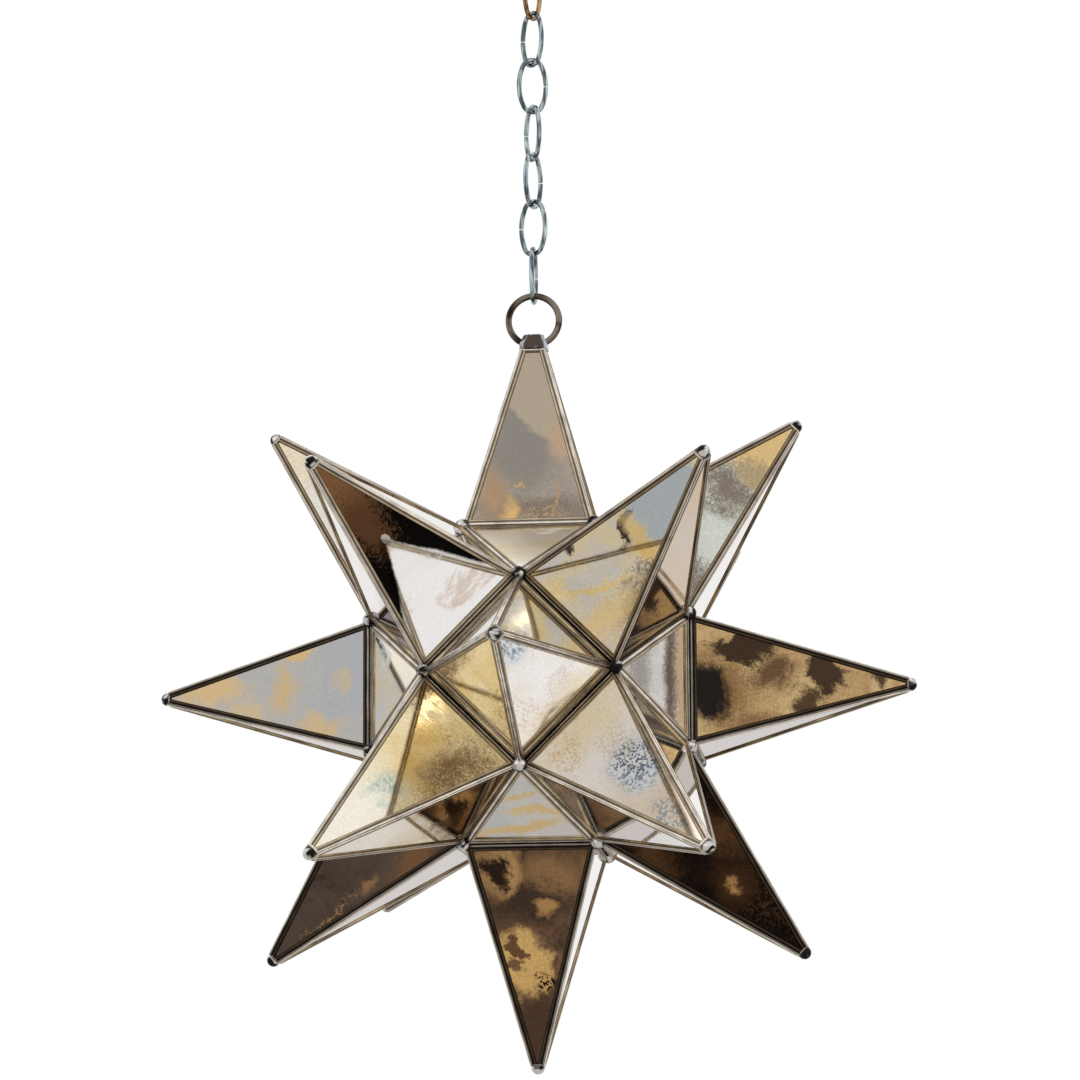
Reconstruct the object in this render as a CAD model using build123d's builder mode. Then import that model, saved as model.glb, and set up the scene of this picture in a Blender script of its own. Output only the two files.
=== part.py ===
from build123d import *
import os
from itertools import product
from math import acos, asin, atan, atan2, cos, radians, sin, sqrt, tan

# Star pendant light: a rhombicuboctahedral core of flat triangles and four-sided points,
# glazed with mirror panes in cames, hung on a chain from a ceiling canopy.
# Millimetres, +Z up, front towards -Y, origin on the ceiling in the middle of the mounting bar.

# Star
tip_reach = 254.0
core_edge = 88.0
core_turn = 45.0
blunt_width = 9.4
tip_bead_diameter = 8.8
tip_bead_dip = 0.6
core_bead_diameter = 9.5

# Cames and glass
came_face = 4.8
came_depth = 4.0
came_round = 0.6
tip_bar = 2.4
front_lip = 1.1
glass_thickness = 2.0
glass_bite = 0.8
glass_clearance = 0.1
seam = 0.1

# Rear door and its hinge
door_gap = 0.3
door_bead_gap = 0.5
hinge_length = 26.0
hinge_knuckle = 8.0
hinge_barrel_diameter = 4.0
hinge_pin_diameter = 2.0
hinge_pin_head = 0.8
hinge_leaf = 0.8
hinge_leaf_width = 5.0
hinge_clearance = 0.4
running_clearance = 0.05
face_contact = 0.05

# Neck of the top point, cap, ring and cord inlet
neck_width = 17.6
neck_bar = 3.0
cap_width = 19.0
cap_chamfer = 4.2
cap_top_width = 13.4
cap_top_chamfer = 2.6
cap_height = 10.0
cap_skirt = 3.2
cap_wall = 1.2
cap_floor_hole = 7.0
ring_diameter = 38.8
ring_wire = 4.4
ring_hole_clearance = 0.45
hang_gap = 0.3
bushing_offset = (2.6, 3.2)
bushing_diameter = 6.8
bushing_height = 1.8
bushing_neck = 4.4
bushing_bore = 2.8

# Stem and lamp holder inside the star
plate_width = 14.0
plate_thickness = 4.0
stem_diameter = 9.7
stem_bore = 6.5
stem_length = 132.0
nut_flats = 14.0
nut_thickness = 4.0
nut_sides = 6
socket_grip = 10.0
socket_hub_diameter = 18.0
socket_hub_height = 14.0
socket_shoulder = 9.0
socket_diameter = 38.0
socket_body = 38.0
socket_roof = 4.0
screw_shell_wall = 0.7
screw_shell_length = 24.0
contact_diameter = 10.0
contact_thickness = 1.2
wire_hole = 5.0

# Bulb
bulb_cap_diameter = 26.0
bulb_cap_length = 24.0
bulb_cap_wall = 0.6
bulb_tip_diameter = 9.0
bulb_tip_height = 2.0
bulb_diameter = 60.0
bulb_length = 84.0
bulb_neck = 24.4
bulb_wall = 0.9
bulb_neck_depth = 5.0

# Chain
link_length = 40.4
link_width = 22.0
link_wire = 3.3
link_gap = 1.2
link_end_radius = 7.0
link_turns = (62.0, -41.0, 17.0, -56.0, 63.0, -24.0, 87.0)
link_gap_sides = (1, -1, 1, -1, 1, -1, 1)
quarter_turn = 90.0

# Ceiling fitting
bar_length = 115.0
bar_width = 20.0
bar_thickness = 2.5
bar_hole_spacing = 88.9
bar_slot_width = 5.0
bar_slot_length = 12.0
earth_screw_place = 26.0
earth_screw_thread = 4.0
earth_screw_head = 8.0
earth_screw_head_height = 2.4
bar_end_room = 4.8
canopy_height = 28.0
canopy_wall = 1.2
canopy_rim = 5.0
canopy_flat = 36.0
nipple_length = 40.0
collar_diameter = 25.0
collar_height = 6.0
collar_grooves = 24
collar_groove_diameter = 1.6
loop_hub_diameter = 15.0
loop_hub_height = 11.0
loop_diameter = 27.0
loop_wire = 4.6
loop_sink = 1.0
loop_floor = 2.0
loop_wire_hole = 3.2
loop_wire_lip = 0.5

# Shape of the core and of a point, worked out from the sizes above
half_edge = core_edge / 2
core_ratio = 1 + sqrt(2)
core_face = core_ratio * half_edge
blunt_reach = tip_reach - tip_bead_diameter / 2 - tip_bead_dip
lean = atan((half_edge - blunt_width / 2) / (blunt_reach - core_face))
slant = half_edge / sin(lean)
apex_reach = core_face + half_edge / tan(lean)
apex_half_angle = atan(half_edge / slant)
ridge_mitre = radians(90) - acos(sin(lean) ** 2) / 2
valley_mitre = radians(45) / 2 + lean
square_to_triangle = acos(-sqrt(2 / 3))
flat_mitre = (radians(270) - square_to_triangle + lean) / 2
triangle_inradius = core_edge / (2 * sqrt(3))
core_bead_radius = core_bead_diameter / 2
groove_height = glass_thickness + 2 * glass_clearance

# Heights along the chain, from the ceiling down to the star's centre
canopy_underside = -canopy_height
collar_top = canopy_underside - hang_gap
loop_hub_top = collar_top - collar_height - hang_gap
loop_ring_radius = (loop_diameter - loop_wire) / 2
loop_centre = loop_hub_top - loop_hub_height + loop_sink - loop_diameter / 2
loop_bottom = loop_centre - loop_ring_radius
link_span = link_length - link_wire
link_pitch = link_span - link_wire - hang_gap
first_link_top = loop_bottom + (loop_wire + link_wire) / 2 + hang_gap
link_centres = [first_link_top - link_span / 2 - link_pitch * i for i in range(len(link_turns))]
last_link_bottom = link_centres[-1] - link_span / 2
ring_radius = (ring_diameter - ring_wire) / 2
ring_centre = last_link_bottom + (link_wire + ring_wire) / 2 + hang_gap - ring_radius
cap_bottom = ring_centre - ring_radius - ring_wire / 2 - hang_gap - cap_wall
neck_reach = apex_reach - neck_width / 2 / tan(lean)
star_centre = cap_bottom - neck_reach
centre = Vector(0, 0, star_centre)


def upright(height, turn):
    """An upright plane across the chain's line: local X level, local Y up, turned about the line."""
    across = Vector(cos(radians(turn)), sin(radians(turn)), 0)
    return Plane((0, 0, height), x_dir=across, z_dir=across.cross(Vector(0, 0, 1)))


def write(part, name):
    """Label a finished piece and write it to its own file."""
    part.label = name
    export_step(part, f"parts/{name}.step")


def grouped(pieces):
    """Separate solids kept side by side as one part."""
    return Compound([solid for piece in pieces for solid in piece.solids()])


os.makedirs("parts", exist_ok=True)

# Core corners, the eighteen points and the eight flat triangles
core = []
for signs in product((1, -1), repeat=3):
    for long_axis in range(3):
        place = [sign * half_edge for sign in signs]
        place[long_axis] *= core_ratio
        core.append(Vector(*place).rotate(Axis.Y, core_turn))

points = {
    "front": Vector(0, -1, 0),
    "rear": Vector(0, 1, 0),
    "top": Vector(0, 0, 1),
    "bottom": Vector(0, 0, -1),
    "left": Vector(-1, 0, 0),
    "right": Vector(1, 0, 0),
    "upper_left": Vector(-1, 0, 1).normalized(),
    "upper_right": Vector(1, 0, 1).normalized(),
    "lower_left": Vector(-1, 0, -1).normalized(),
    "lower_right": Vector(1, 0, -1).normalized(),
}
for depth_name, depth in (("front", -sqrt(2)), ("rear", sqrt(2))):
    for height_name, height in (("upper", 1), ("lower", -1)):
        for side_name, side in (("left", -1), ("right", 1)):
            name = f"{depth_name}_{height_name}_{side_name}"
            points[name] = Vector(side, depth, height).normalized()

triangles = [Vector(*signs).rotate(Axis.Y, core_turn).normalized() for signs in product((1, -1), repeat=3)]


def corners_of(direction, count):
    """The core corners around a face, in order, anticlockwise seen from outside."""
    nearest = sorted(core, key=lambda corner: -corner.dot(direction))[:count]
    across = (nearest[0] - direction * nearest[0].dot(direction)).normalized()
    upward = direction.cross(across)
    return sorted(nearest, key=lambda corner: atan2(corner.dot(upward), corner.dot(across)))


def squares_at(corner_a, corner_b):
    """How many of the core's squares share the edge between two corners."""
    middle = (corner_a + corner_b) / 2
    return sum(1 for way in points.values() if middle.dot(way) > core_face - seam)


def pane_places(direction):
    """The four sloping faces of a point, each as its kind of base edge and its plane."""
    corners = corners_of(direction, 4)
    places = []
    for i, start in enumerate(corners):
        end = corners[(i + 1) % 4]
        middle = (start + end) / 2
        outward = (end - start).cross(direction * apex_reach - middle)
        plane = Plane(origin=centre + middle, x_dir=end - start, z_dir=outward)
        kind = "valley" if squares_at(start, end) == 2 else "flat"
        places.append((kind, plane))
    return places


def pane_outline(base, ridge, top):
    """A point's face, set in from its base edge and ridges and cut off at a height."""
    apex = slant - ridge / sin(apex_half_angle)
    half_base = (apex - base) * tan(apex_half_angle)
    if top >= apex:
        return [(-half_base, base), (half_base, base), (0, apex)]
    half_top = (apex - top) * tan(apex_half_angle)
    return [(-half_base, base), (half_base, base), (half_top, top), (-half_top, top)]


def triangle_outline(inset):
    """A flat triangle of the core, set in from its edges."""
    inradius = triangle_inradius - inset
    half_base = inradius * sqrt(3)
    return [(-half_base, -inradius), (half_base, -inradius), (0, 2 * inradius)]


def came_frame(front, back, window, groove, corners):
    """A came round one pane: mitred sides, rounded front edges, a groove, and room for the beads."""
    with BuildPart() as frame:
        with BuildSketch():
            Polygon(*front, align=None)
        with BuildSketch(Plane.XY.offset(-came_depth)):
            Polygon(*back, align=None)
        loft(ruled=True)
        with BuildSketch():
            Polygon(*window, align=None)
        extrude(amount=-came_depth, mode=Mode.SUBTRACT)
        fillet(frame.faces().sort_by(Axis.Z)[-1].edges(), radius=came_round)
        with BuildSketch(Plane.XY.offset(-front_lip)):
            Polygon(*groove, align=None)
        extrude(amount=-groove_height, mode=Mode.SUBTRACT)
        with Locations(*corners):
            Sphere(core_bead_radius + seam, mode=Mode.SUBTRACT)
    return frame.part


def point_came(base_mitre, reach, bar, gap):
    """The came of one face of a point that ends at a given reach from the star's centre."""
    top = (reach - core_face) / cos(lean)
    base_seam = gap / sin(base_mitre)
    ridge_seam = seam / sin(ridge_mitre)
    back_top = top + came_depth * tan(lean)
    back_base = base_seam - came_depth / tan(base_mitre)
    back_ridge = ridge_seam + came_depth / tan(ridge_mitre)
    bite = came_face - glass_bite
    return came_frame(
        pane_outline(base_seam, ridge_seam, top),
        pane_outline(back_base, back_ridge, back_top),
        pane_outline(came_face, came_face, top - bar),
        pane_outline(bite, bite, top - bar + glass_bite),
        [(-half_edge, 0), (half_edge, 0)],
    )


def point_glass(reach, bar):
    """The pane of one face of a point, seated in its came's groove."""
    top = (reach - core_face) / cos(lean) - bar + glass_bite - glass_clearance
    inset = came_face - glass_bite + glass_clearance
    with BuildPart() as pane:
        with BuildSketch(Plane.XY.offset(-front_lip - glass_clearance)):
            Polygon(*pane_outline(inset, inset, top), align=None)
        extrude(amount=-glass_thickness)
    return pane.part


# One came and one pane of each kind, in the plane of its own face
mitres = {"valley": valley_mitre, "flat": flat_mitre}
came = {kind: point_came(mitre, blunt_reach, tip_bar, seam) for kind, mitre in mitres.items()}
neck_came = {kind: point_came(mitre, neck_reach, neck_bar, seam) for kind, mitre in mitres.items()}
pane = point_glass(blunt_reach, tip_bar)
neck_pane = point_glass(neck_reach, neck_bar)

# Cames of the seventeen fixed points
for name, direction in points.items():
    if name == "rear":
        continue
    shapes = neck_came if name == "top" else came
    point_cames = grouped(shapes[kind].moved(plane.location) for kind, plane in pane_places(direction))
    write(point_cames, f"cames_{name}")

# Mirror panes of the fixed points, by the tier of the star that they stand in
tiers = {
    "front": ["front"],
    "front_ring": [name for name in points if name.startswith("front_")],
    "belt": [name for name, direction in points.items() if abs(direction.Y) < seam],
    "rear_ring": [name for name in points if name.startswith("rear_")],
}
for tier, names in tiers.items():
    tier_panes = []
    for name in names:
        glass = neck_pane if name == "top" else pane
        tier_panes += [glass.moved(plane.location) for kind, plane in pane_places(points[name])]
    write(grouped(tier_panes), f"panes_{tier}")

# Flat triangles between the points
flat_seam = seam / sin(flat_mitre)
flat_groove = came_face - glass_bite
flat_came = came_frame(
    triangle_outline(flat_seam),
    triangle_outline(flat_seam - came_depth / tan(flat_mitre)),
    triangle_outline(came_face),
    triangle_outline(flat_groove),
    triangle_outline(0),
)
with BuildPart() as flat_glass:
    with BuildSketch(Plane.XY.offset(-front_lip - glass_clearance)):
        Polygon(*triangle_outline(flat_groove + glass_clearance), align=None)
    extrude(amount=-glass_thickness)

flat_places = []
for direction in triangles:
    corners = corners_of(direction, 3)
    middle = (corners[0] + corners[1] + corners[2]) / 3
    flat_places.append(Plane(origin=centre + middle, x_dir=corners[1] - corners[0], z_dir=direction))

write(grouped(flat_came.moved(plane.location) for plane in flat_places), "flat_cames")
write(grouped(flat_glass.part.moved(plane.location) for plane in flat_places), "flat_panes")

# Solder beads on the core's corners and domes on the points' blunt ends
with BuildPart() as core_beads:
    with Locations(*[centre + corner for corner in core]):
        Sphere(core_bead_radius)
write(core_beads.part, "core_beads")

with BuildPart() as tip_bead:
    with Locations((0, 0, tip_bead_dip)):
        Sphere(tip_bead_diameter / 2)
    split(bisect_by=Plane.XY.offset(face_contact), keep=Keep.TOP)

tip_places = {name: Plane(centre + way * blunt_reach, z_dir=way) for name, way in points.items()}
fixed_tips = [place for name, place in tip_places.items() if name not in ("rear", "top")]
write(grouped(tip_bead.part.moved(place.location) for place in fixed_tips), "tip_beads")

# Rear door: the whole rear point, swung on a hinge along the upper left edge of its base,
# with its corners cut back from the beads
door_places = [plane for kind, plane in pane_places(points["rear"])]
with BuildPart() as door_came:
    add(point_came(valley_mitre, blunt_reach, tip_bar, door_gap))
    for corner in (-half_edge, half_edge):
        with BuildSketch(Plane((corner, 0, 0), z_dir=(0, cos(lean), sin(lean)))):
            Circle(core_bead_radius + door_bead_gap)
        extrude(amount=core_bead_diameter, both=True, mode=Mode.SUBTRACT)
write(grouped(door_came.part.moved(plane.location) for plane in door_places), "door_cames")
write(grouped(pane.moved(plane.location) for plane in door_places), "door_panes")
write(tip_bead.part.moved(tip_places["rear"].location), "door_bead")

# Hinge: the axis lies out in the valley, clear of the faces on both sides
hinge_neighbour = points["rear_upper_left"]
hinge_out = (points["rear"] + hinge_neighbour).normalized()
door_corners = corners_of(points["rear"], 4)
hinge_edge = [corner for corner in door_corners if corner.dot(hinge_neighbour) > core_face - seam]
hinge_middle = (hinge_edge[0] + hinge_edge[1]) / 2
hinge_along = Vector(1, 0, 1).normalized()
hinge_height = hinge_barrel_diameter / 2 + hinge_clearance
hinge_axis = centre + hinge_middle + hinge_out * (hinge_height / sin(valley_mitre))


def hinge_leaf_part(direction, spans, bore):
    """A hinge leaf on the base of a point: a plate on the came's face with its knuckles."""
    outward = (hinge_out - direction * hinge_out.dot(direction)).normalized()
    up_face = direction * cos(lean) - outward * sin(lean)
    normal = outward * cos(lean) + direction * sin(lean)
    section = Plane(hinge_axis - normal * hinge_height, x_dir=up_face, z_dir=up_face.cross(normal))
    leaf_start = hinge_barrel_diameter / 2
    middle_height = face_contact + hinge_leaf / 2
    with BuildPart() as leaf:
        with BuildSketch(section.offset(-hinge_length / 2)):
            with Locations((leaf_start + hinge_leaf_width / 2, middle_height)):
                Rectangle(hinge_leaf_width, hinge_leaf)
        extrude(amount=hinge_length)
        for start, end in spans:
            with BuildSketch(section.offset(start)):
                with Locations((leaf_start / 2, middle_height)):
                    Rectangle(leaf_start + hinge_leaf, hinge_leaf)
                with Locations((0, hinge_height)):
                    Circle(hinge_barrel_diameter / 2)
            extrude(amount=end - start)
        with BuildSketch(section.offset(-hinge_length / 2)):
            with Locations((0, hinge_height)):
                Circle(bore / 2)
        extrude(amount=hinge_length, mode=Mode.SUBTRACT)
    return leaf.part


knuckle_end = hinge_knuckle / 2
fixed_start = knuckle_end + hang_gap
door_bore = hinge_pin_diameter + 2 * running_clearance
door_leaf = hinge_leaf_part(points["rear"], [(-knuckle_end, knuckle_end)], door_bore)
write(door_leaf, "door_hinge_leaf")

fixed_spans = [(-hinge_length / 2, -fixed_start), (fixed_start, hinge_length / 2)]
fixed_leaf = hinge_leaf_part(hinge_neighbour, fixed_spans, hinge_pin_diameter + 2 * seam)
write(fixed_leaf, "frame_hinge_leaf")

with BuildPart() as hinge_pin:
    pin_end = hinge_length / 2 + face_contact
    with BuildSketch(Plane(hinge_axis - hinge_along * pin_end, z_dir=hinge_along)):
        Circle(hinge_pin_diameter / 2)
    extrude(amount=2 * pin_end)
    for way in (-1, 1):
        with BuildSketch(Plane(hinge_axis + hinge_along * pin_end * way, z_dir=hinge_along * way)):
            Circle(hinge_barrel_diameter / 2)
        extrude(amount=hinge_pin_head)
write(hinge_pin.part, "hinge_pin")


def cut_corner_square(width, chamfer_size):
    """A square with its corners cut off."""
    with BuildSketch(mode=Mode.PRIVATE) as outline:
        Rectangle(width, width)
        chamfer(outline.vertices(), chamfer_size)
    return outline.sketch


def cap_solid(wall, floor):
    """The cap's body, set in by a wall all round: an upright skirt under a sloping crown."""
    trim = wall * (2 - sqrt(2))
    skirt = cut_corner_square(cap_width - 2 * wall, cap_chamfer - trim)
    crown = cut_corner_square(cap_top_width - 2 * wall, cap_top_chamfer - trim)
    with BuildPart(mode=Mode.PRIVATE) as body:
        with BuildSketch(Plane.XY.offset(cap_bottom + floor)):
            add(skirt)
        extrude(amount=cap_skirt - floor)
        with BuildSketch(Plane.XY.offset(cap_bottom + cap_skirt)):
            add(skirt)
        with BuildSketch(Plane.XY.offset(cap_bottom + cap_height - wall)):
            add(crown)
        loft(ruled=True)
    return body.part


# Cap on the neck of the top point, pierced at both sides for the ring and on top for the cord
cap_outer = cap_solid(0, 0)
cap_inner = cap_solid(cap_wall, cap_wall)
with BuildPart() as top_cap:
    add(cap_outer)
    add(cap_inner, mode=Mode.SUBTRACT)
    with BuildSketch(Plane.XY.offset(cap_bottom)):
        Circle(cap_floor_hole / 2)
    extrude(amount=cap_wall, mode=Mode.SUBTRACT)
    with BuildSketch(Plane.XY.offset(cap_bottom + cap_height)):
        with Locations(bushing_offset):
            Circle(bushing_neck / 2 + seam)
    extrude(amount=-cap_wall, mode=Mode.SUBTRACT)
    with Locations(upright(ring_centre, 0).location):
        Torus(ring_radius, ring_wire / 2 + ring_hole_clearance, mode=Mode.SUBTRACT)
write(top_cap.part, "top_cap")

with BuildPart() as cord_bushing:
    with BuildSketch(Plane.XZ):
        with BuildLine():
            Polyline(
                (bushing_bore / 2, bushing_height),
                (bushing_bore / 2, -cap_wall),
                (bushing_neck / 2, -cap_wall),
                (bushing_neck / 2, face_contact),
                (bushing_diameter / 2, face_contact),
            )
            rim = (bushing_diameter / 2, face_contact)
            TangentArc(rim, (bushing_bore / 2, bushing_height), tangent=(0, 1))
        make_face()
    revolve(axis=Axis.Z)
bushing_place = Location((*bushing_offset, cap_bottom + cap_height))
write(cord_bushing.part.moved(bushing_place), "cord_bushing")

with BuildPart() as hanging_ring:
    with Locations(upright(ring_centre, 0).location):
        Torus(ring_radius, ring_wire / 2)
write(hanging_ring.part, "hanging_ring")


def chain_link(height, turn, gap_side):
    """An oval link of round wire, drawn with four arcs, with its butt joint in one leg."""
    half_width = (link_width - link_wire) / 2
    end_centre = link_span / 2 - link_end_radius
    side_square = end_centre**2 + half_width**2 - link_end_radius**2
    side_radius = side_square / (2 * (half_width - link_end_radius))
    sweep_end = atan2(end_centre, side_radius - half_width)
    sweep_start = asin(link_gap / 2 / side_radius)

    def on_side(angle, side):
        """A point on one leg of the wire, at an angle about the centre of that leg's arc."""
        reach = half_width - side_radius + side_radius * cos(angle)
        return (side * reach, side_radius * sin(angle))

    with BuildPart() as link:
        with BuildLine(upright(height, turn)) as wire:
            middle = (sweep_start + sweep_end) / 2
            joint, far = gap_side, -gap_side
            lower, upper = -sweep_end, sweep_end
            ThreePointArc(on_side(-sweep_start, joint), on_side(-middle, joint), on_side(lower, joint))
            ThreePointArc(on_side(lower, joint), (0, -link_span / 2), on_side(lower, far))
            ThreePointArc(on_side(lower, far), on_side(0, far), on_side(upper, far))
            ThreePointArc(on_side(upper, far), (0, link_span / 2), on_side(upper, joint))
            ThreePointArc(on_side(upper, joint), on_side(middle, joint), on_side(sweep_start, joint))
        with BuildSketch(Plane(wire.line @ 0, z_dir=wire.line % 0)):
            Circle(link_wire / 2)
        sweep()
    return link.part


for i, height in enumerate(link_centres):
    write(chain_link(height, link_turns[i], link_gap_sides[i]), f"chain_link_{i + 1}")

# Plate soldered into the neck of the top point, the stem through it and its lock nut
stem_radius = stem_diameter / 2
plate_half = plate_width / 2
plate_reach = apex_reach - (plate_half + face_contact + came_depth / cos(lean)) / tan(lean)
plate_top = star_centre + plate_reach
plate_bottom = plate_top - plate_thickness
with BuildPart() as stem_plate:
    with BuildSketch(Plane.XY.offset(plate_top)):
        Rectangle(plate_width, plate_width)
    with BuildSketch(Plane.XY.offset(plate_bottom)):
        lower_width = plate_width + 2 * plate_thickness * tan(lean)
        Rectangle(lower_width, lower_width)
    loft(ruled=True)
    with BuildSketch(Plane.XY.offset(plate_bottom)):
        Circle(stem_radius + face_contact)
    extrude(amount=plate_thickness, mode=Mode.SUBTRACT)
write(stem_plate.part, "stem_plate")


def threaded_tube(top, length):
    """A length of threaded lamp tube below a height."""
    with BuildPart() as tube:
        with BuildSketch(Plane.XY.offset(top)):
            Circle(stem_radius)
            Circle(stem_bore / 2, mode=Mode.SUBTRACT)
        extrude(amount=-length)
    return tube.part


def lock_nut(top):
    """A thin hexagon nut for the lamp tube, below a height."""
    with BuildPart() as nut:
        with BuildSketch(Plane.XY.offset(top)):
            RegularPolygon(nut_flats / 2, nut_sides, major_radius=False)
            Circle(stem_radius + face_contact, mode=Mode.SUBTRACT)
        extrude(amount=-nut_thickness)
    return nut.part


write(threaded_tube(plate_top, stem_length), "stem")
write(lock_nut(plate_bottom - face_contact), "stem_nut")

# Lamp holder on the lower end of the stem
socket_top = plate_top - stem_length + socket_grip
shoulder_top = -socket_hub_height
body_top = shoulder_top - socket_shoulder
cavity_roof = body_top - socket_roof
body_bottom = body_top - socket_body
screw_shell_bore = bulb_cap_diameter / 2 + running_clearance
cavity_radius = screw_shell_bore + screw_shell_wall + seam
socket_floor = -socket_grip - face_contact
with BuildPart() as lamp_socket:
    with BuildSketch(Plane.XZ):
        with BuildLine():
            Polyline(
                (stem_radius + face_contact, 0),
                (socket_hub_diameter / 2, 0),
                (socket_hub_diameter / 2, shoulder_top),
                (socket_diameter / 2, body_top),
                (socket_diameter / 2, body_bottom),
                (cavity_radius, body_bottom),
                (cavity_radius, cavity_roof),
                (wire_hole / 2, cavity_roof),
                (wire_hole / 2, socket_floor),
                (stem_radius + face_contact, socket_floor),
                close=True,
            )
        make_face()
    revolve(axis=Axis.Z)
write(lamp_socket.part.moved(Location((0, 0, socket_top))), "lamp_socket")

contact_top = socket_top + cavity_roof - face_contact
with BuildPart() as socket_contact:
    with BuildSketch(Plane.XY.offset(contact_top)):
        Circle(contact_diameter / 2)
    extrude(amount=-contact_thickness)
write(socket_contact.part, "socket_contact")

shell_top = contact_top - contact_thickness
with BuildPart() as screw_shell:
    with BuildSketch(Plane.XY.offset(shell_top)):
        Circle(cavity_radius - seam)
        Circle(screw_shell_bore, mode=Mode.SUBTRACT)
    extrude(amount=-screw_shell_length)
write(screw_shell.part, "screw_shell")

# Bulb: a metal screw cap and a glass envelope
bulb_cap_radius = bulb_cap_diameter / 2
bulb_cap_top = shell_top - hang_gap - bulb_tip_height
bulb_cap_bottom = bulb_cap_top - bulb_cap_length
with BuildPart() as bulb_cap:
    with BuildSketch(Plane.XY.offset(bulb_cap_top)):
        Circle(bulb_cap_radius)
    extrude(amount=-bulb_cap_length)
    with BuildSketch(Plane.XY.offset(bulb_cap_bottom)):
        Circle(bulb_cap_radius - bulb_cap_wall)
    extrude(amount=bulb_cap_length - bulb_tip_height, mode=Mode.SUBTRACT)
    with BuildSketch(Plane.XY.offset(bulb_cap_top)):
        Circle(bulb_tip_diameter / 2)
    extrude(amount=bulb_tip_height)
write(bulb_cap.part, "bulb_cap")

glass_top = bulb_cap_bottom + bulb_neck_depth
bulb_radius = bulb_diameter / 2
bulb_middle = bulb_radius - bulb_length
with BuildPart() as bulb_glass:
    with BuildSketch(Plane.XZ):
        for inset, mode in ((0, Mode.ADD), (bulb_wall, Mode.SUBTRACT)):
            neck = (bulb_neck / 2 - inset, -bulb_neck_depth)
            widest = (bulb_radius - inset, bulb_middle)
            lowest = (0, inset - bulb_length)
            with BuildLine():
                Polyline(lowest, (0, 0), (bulb_neck / 2 - inset, 0), neck)
                Spline(neck, widest, tangents=[(0, -1), (0, -1)])
                TangentArc(widest, lowest, tangent=(0, -1))
            make_face(mode=mode)
    revolve(axis=Axis.Z)
write(bulb_glass.part.moved(Location((0, 0, glass_top))), "bulb_glass")

# Ceiling fitting: a slotted bar on the ceiling box, a nipple with its nut, and an earth screw
with BuildPart() as mounting_bar:
    with BuildSketch():
        Rectangle(bar_length, bar_width)
        with Locations((-bar_hole_spacing / 2, 0), (bar_hole_spacing / 2, 0)):
            SlotOverall(bar_slot_length, bar_slot_width, mode=Mode.SUBTRACT)
        Circle(stem_radius + face_contact, mode=Mode.SUBTRACT)
        with Locations((earth_screw_place, 0)):
            Circle(earth_screw_thread / 2 + face_contact, mode=Mode.SUBTRACT)
    extrude(amount=-bar_thickness)
write(mounting_bar.part, "mounting_bar")

with BuildPart() as earth_screw:
    with BuildSketch(Plane.XY.offset(-bar_thickness - face_contact)):
        with Locations((earth_screw_place, 0)):
            Circle(earth_screw_head / 2)
    extrude(amount=-earth_screw_head_height)
    with BuildSketch(Plane.XY.offset(-bar_thickness - face_contact)):
        with Locations((earth_screw_place, 0)):
            Circle(earth_screw_thread / 2)
    extrude(amount=bar_thickness)
write(earth_screw.part, "earth_screw")

write(threaded_tube(-face_contact, nipple_length), "canopy_nipple")
write(lock_nut(-bar_thickness - face_contact), "nipple_nut")

canopy_diameter = bar_length + 2 * (bar_end_room + canopy_wall)
canopy_radius = canopy_diameter / 2
with BuildPart() as canopy:
    with BuildSketch(Plane.XZ):
        with BuildLine():
            inside = canopy_radius - canopy_wall
            floor = canopy_underside + canopy_wall
            flat = canopy_flat / 2
            hole = stem_radius + hang_gap
            Polyline((inside, -canopy_rim), (inside, 0), (canopy_radius, 0), (canopy_radius, -canopy_rim))
            Bezier((canopy_radius, -canopy_rim), (canopy_radius, canopy_underside), (flat, canopy_underside))
            Polyline((flat, canopy_underside), (hole, canopy_underside), (hole, floor), (flat, floor))
            Bezier((flat, floor), (inside, floor), (inside, -canopy_rim))
        make_face()
    revolve(axis=Axis.Z)
write(canopy.part, "canopy")

with BuildPart() as collar_ring:
    with BuildSketch(Plane.XY.offset(collar_top)):
        Circle(collar_diameter / 2)
        Circle(stem_radius + running_clearance, mode=Mode.SUBTRACT)
        with PolarLocations(collar_diameter / 2, collar_grooves):
            Circle(collar_groove_diameter / 2, mode=Mode.SUBTRACT)
    extrude(amount=-collar_height)
write(collar_ring.part, "collar_ring")

# Loop that carries the chain: a hub on the nipple, a wire exit in its side, and a ring below
loop_turn = link_turns[0] - quarter_turn
exit_height = loop_hub_top - loop_hub_height + loop_floor + loop_wire_lip + loop_wire_hole / 2
with BuildPart() as canopy_loop:
    with BuildSketch(Plane.XY.offset(loop_hub_top)):
        Circle(loop_hub_diameter / 2)
    extrude(amount=-loop_hub_height)
    with Locations(upright(loop_centre, loop_turn).location):
        Torus(loop_ring_radius, loop_wire / 2)
    with BuildSketch(Plane.XY.offset(loop_hub_top)):
        Circle(stem_radius + face_contact)
    extrude(amount=loop_floor - loop_hub_height, mode=Mode.SUBTRACT)
    with BuildSketch(upright(exit_height, loop_turn)):
        Circle(loop_wire_hole / 2)
    extrude(amount=loop_hub_diameter, mode=Mode.SUBTRACT)
write(canopy_loop.part, "canopy_loop")
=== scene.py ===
"""Looks for the star pendant light: mirror panes in cames, beads, chain, ring, cap and ceiling fitting."""

import logging
from dataclasses import dataclass
from enum import Enum
from functools import partial
from itertools import product
from math import acos, atan, atan2, cos, radians, sin, sqrt, tan
from typing import Callable, Sequence

import bmesh
import bpy
from bpy.types import Material, Node, NodeSocket, NodeTree, Object
from mathutils import Matrix, Vector


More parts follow.
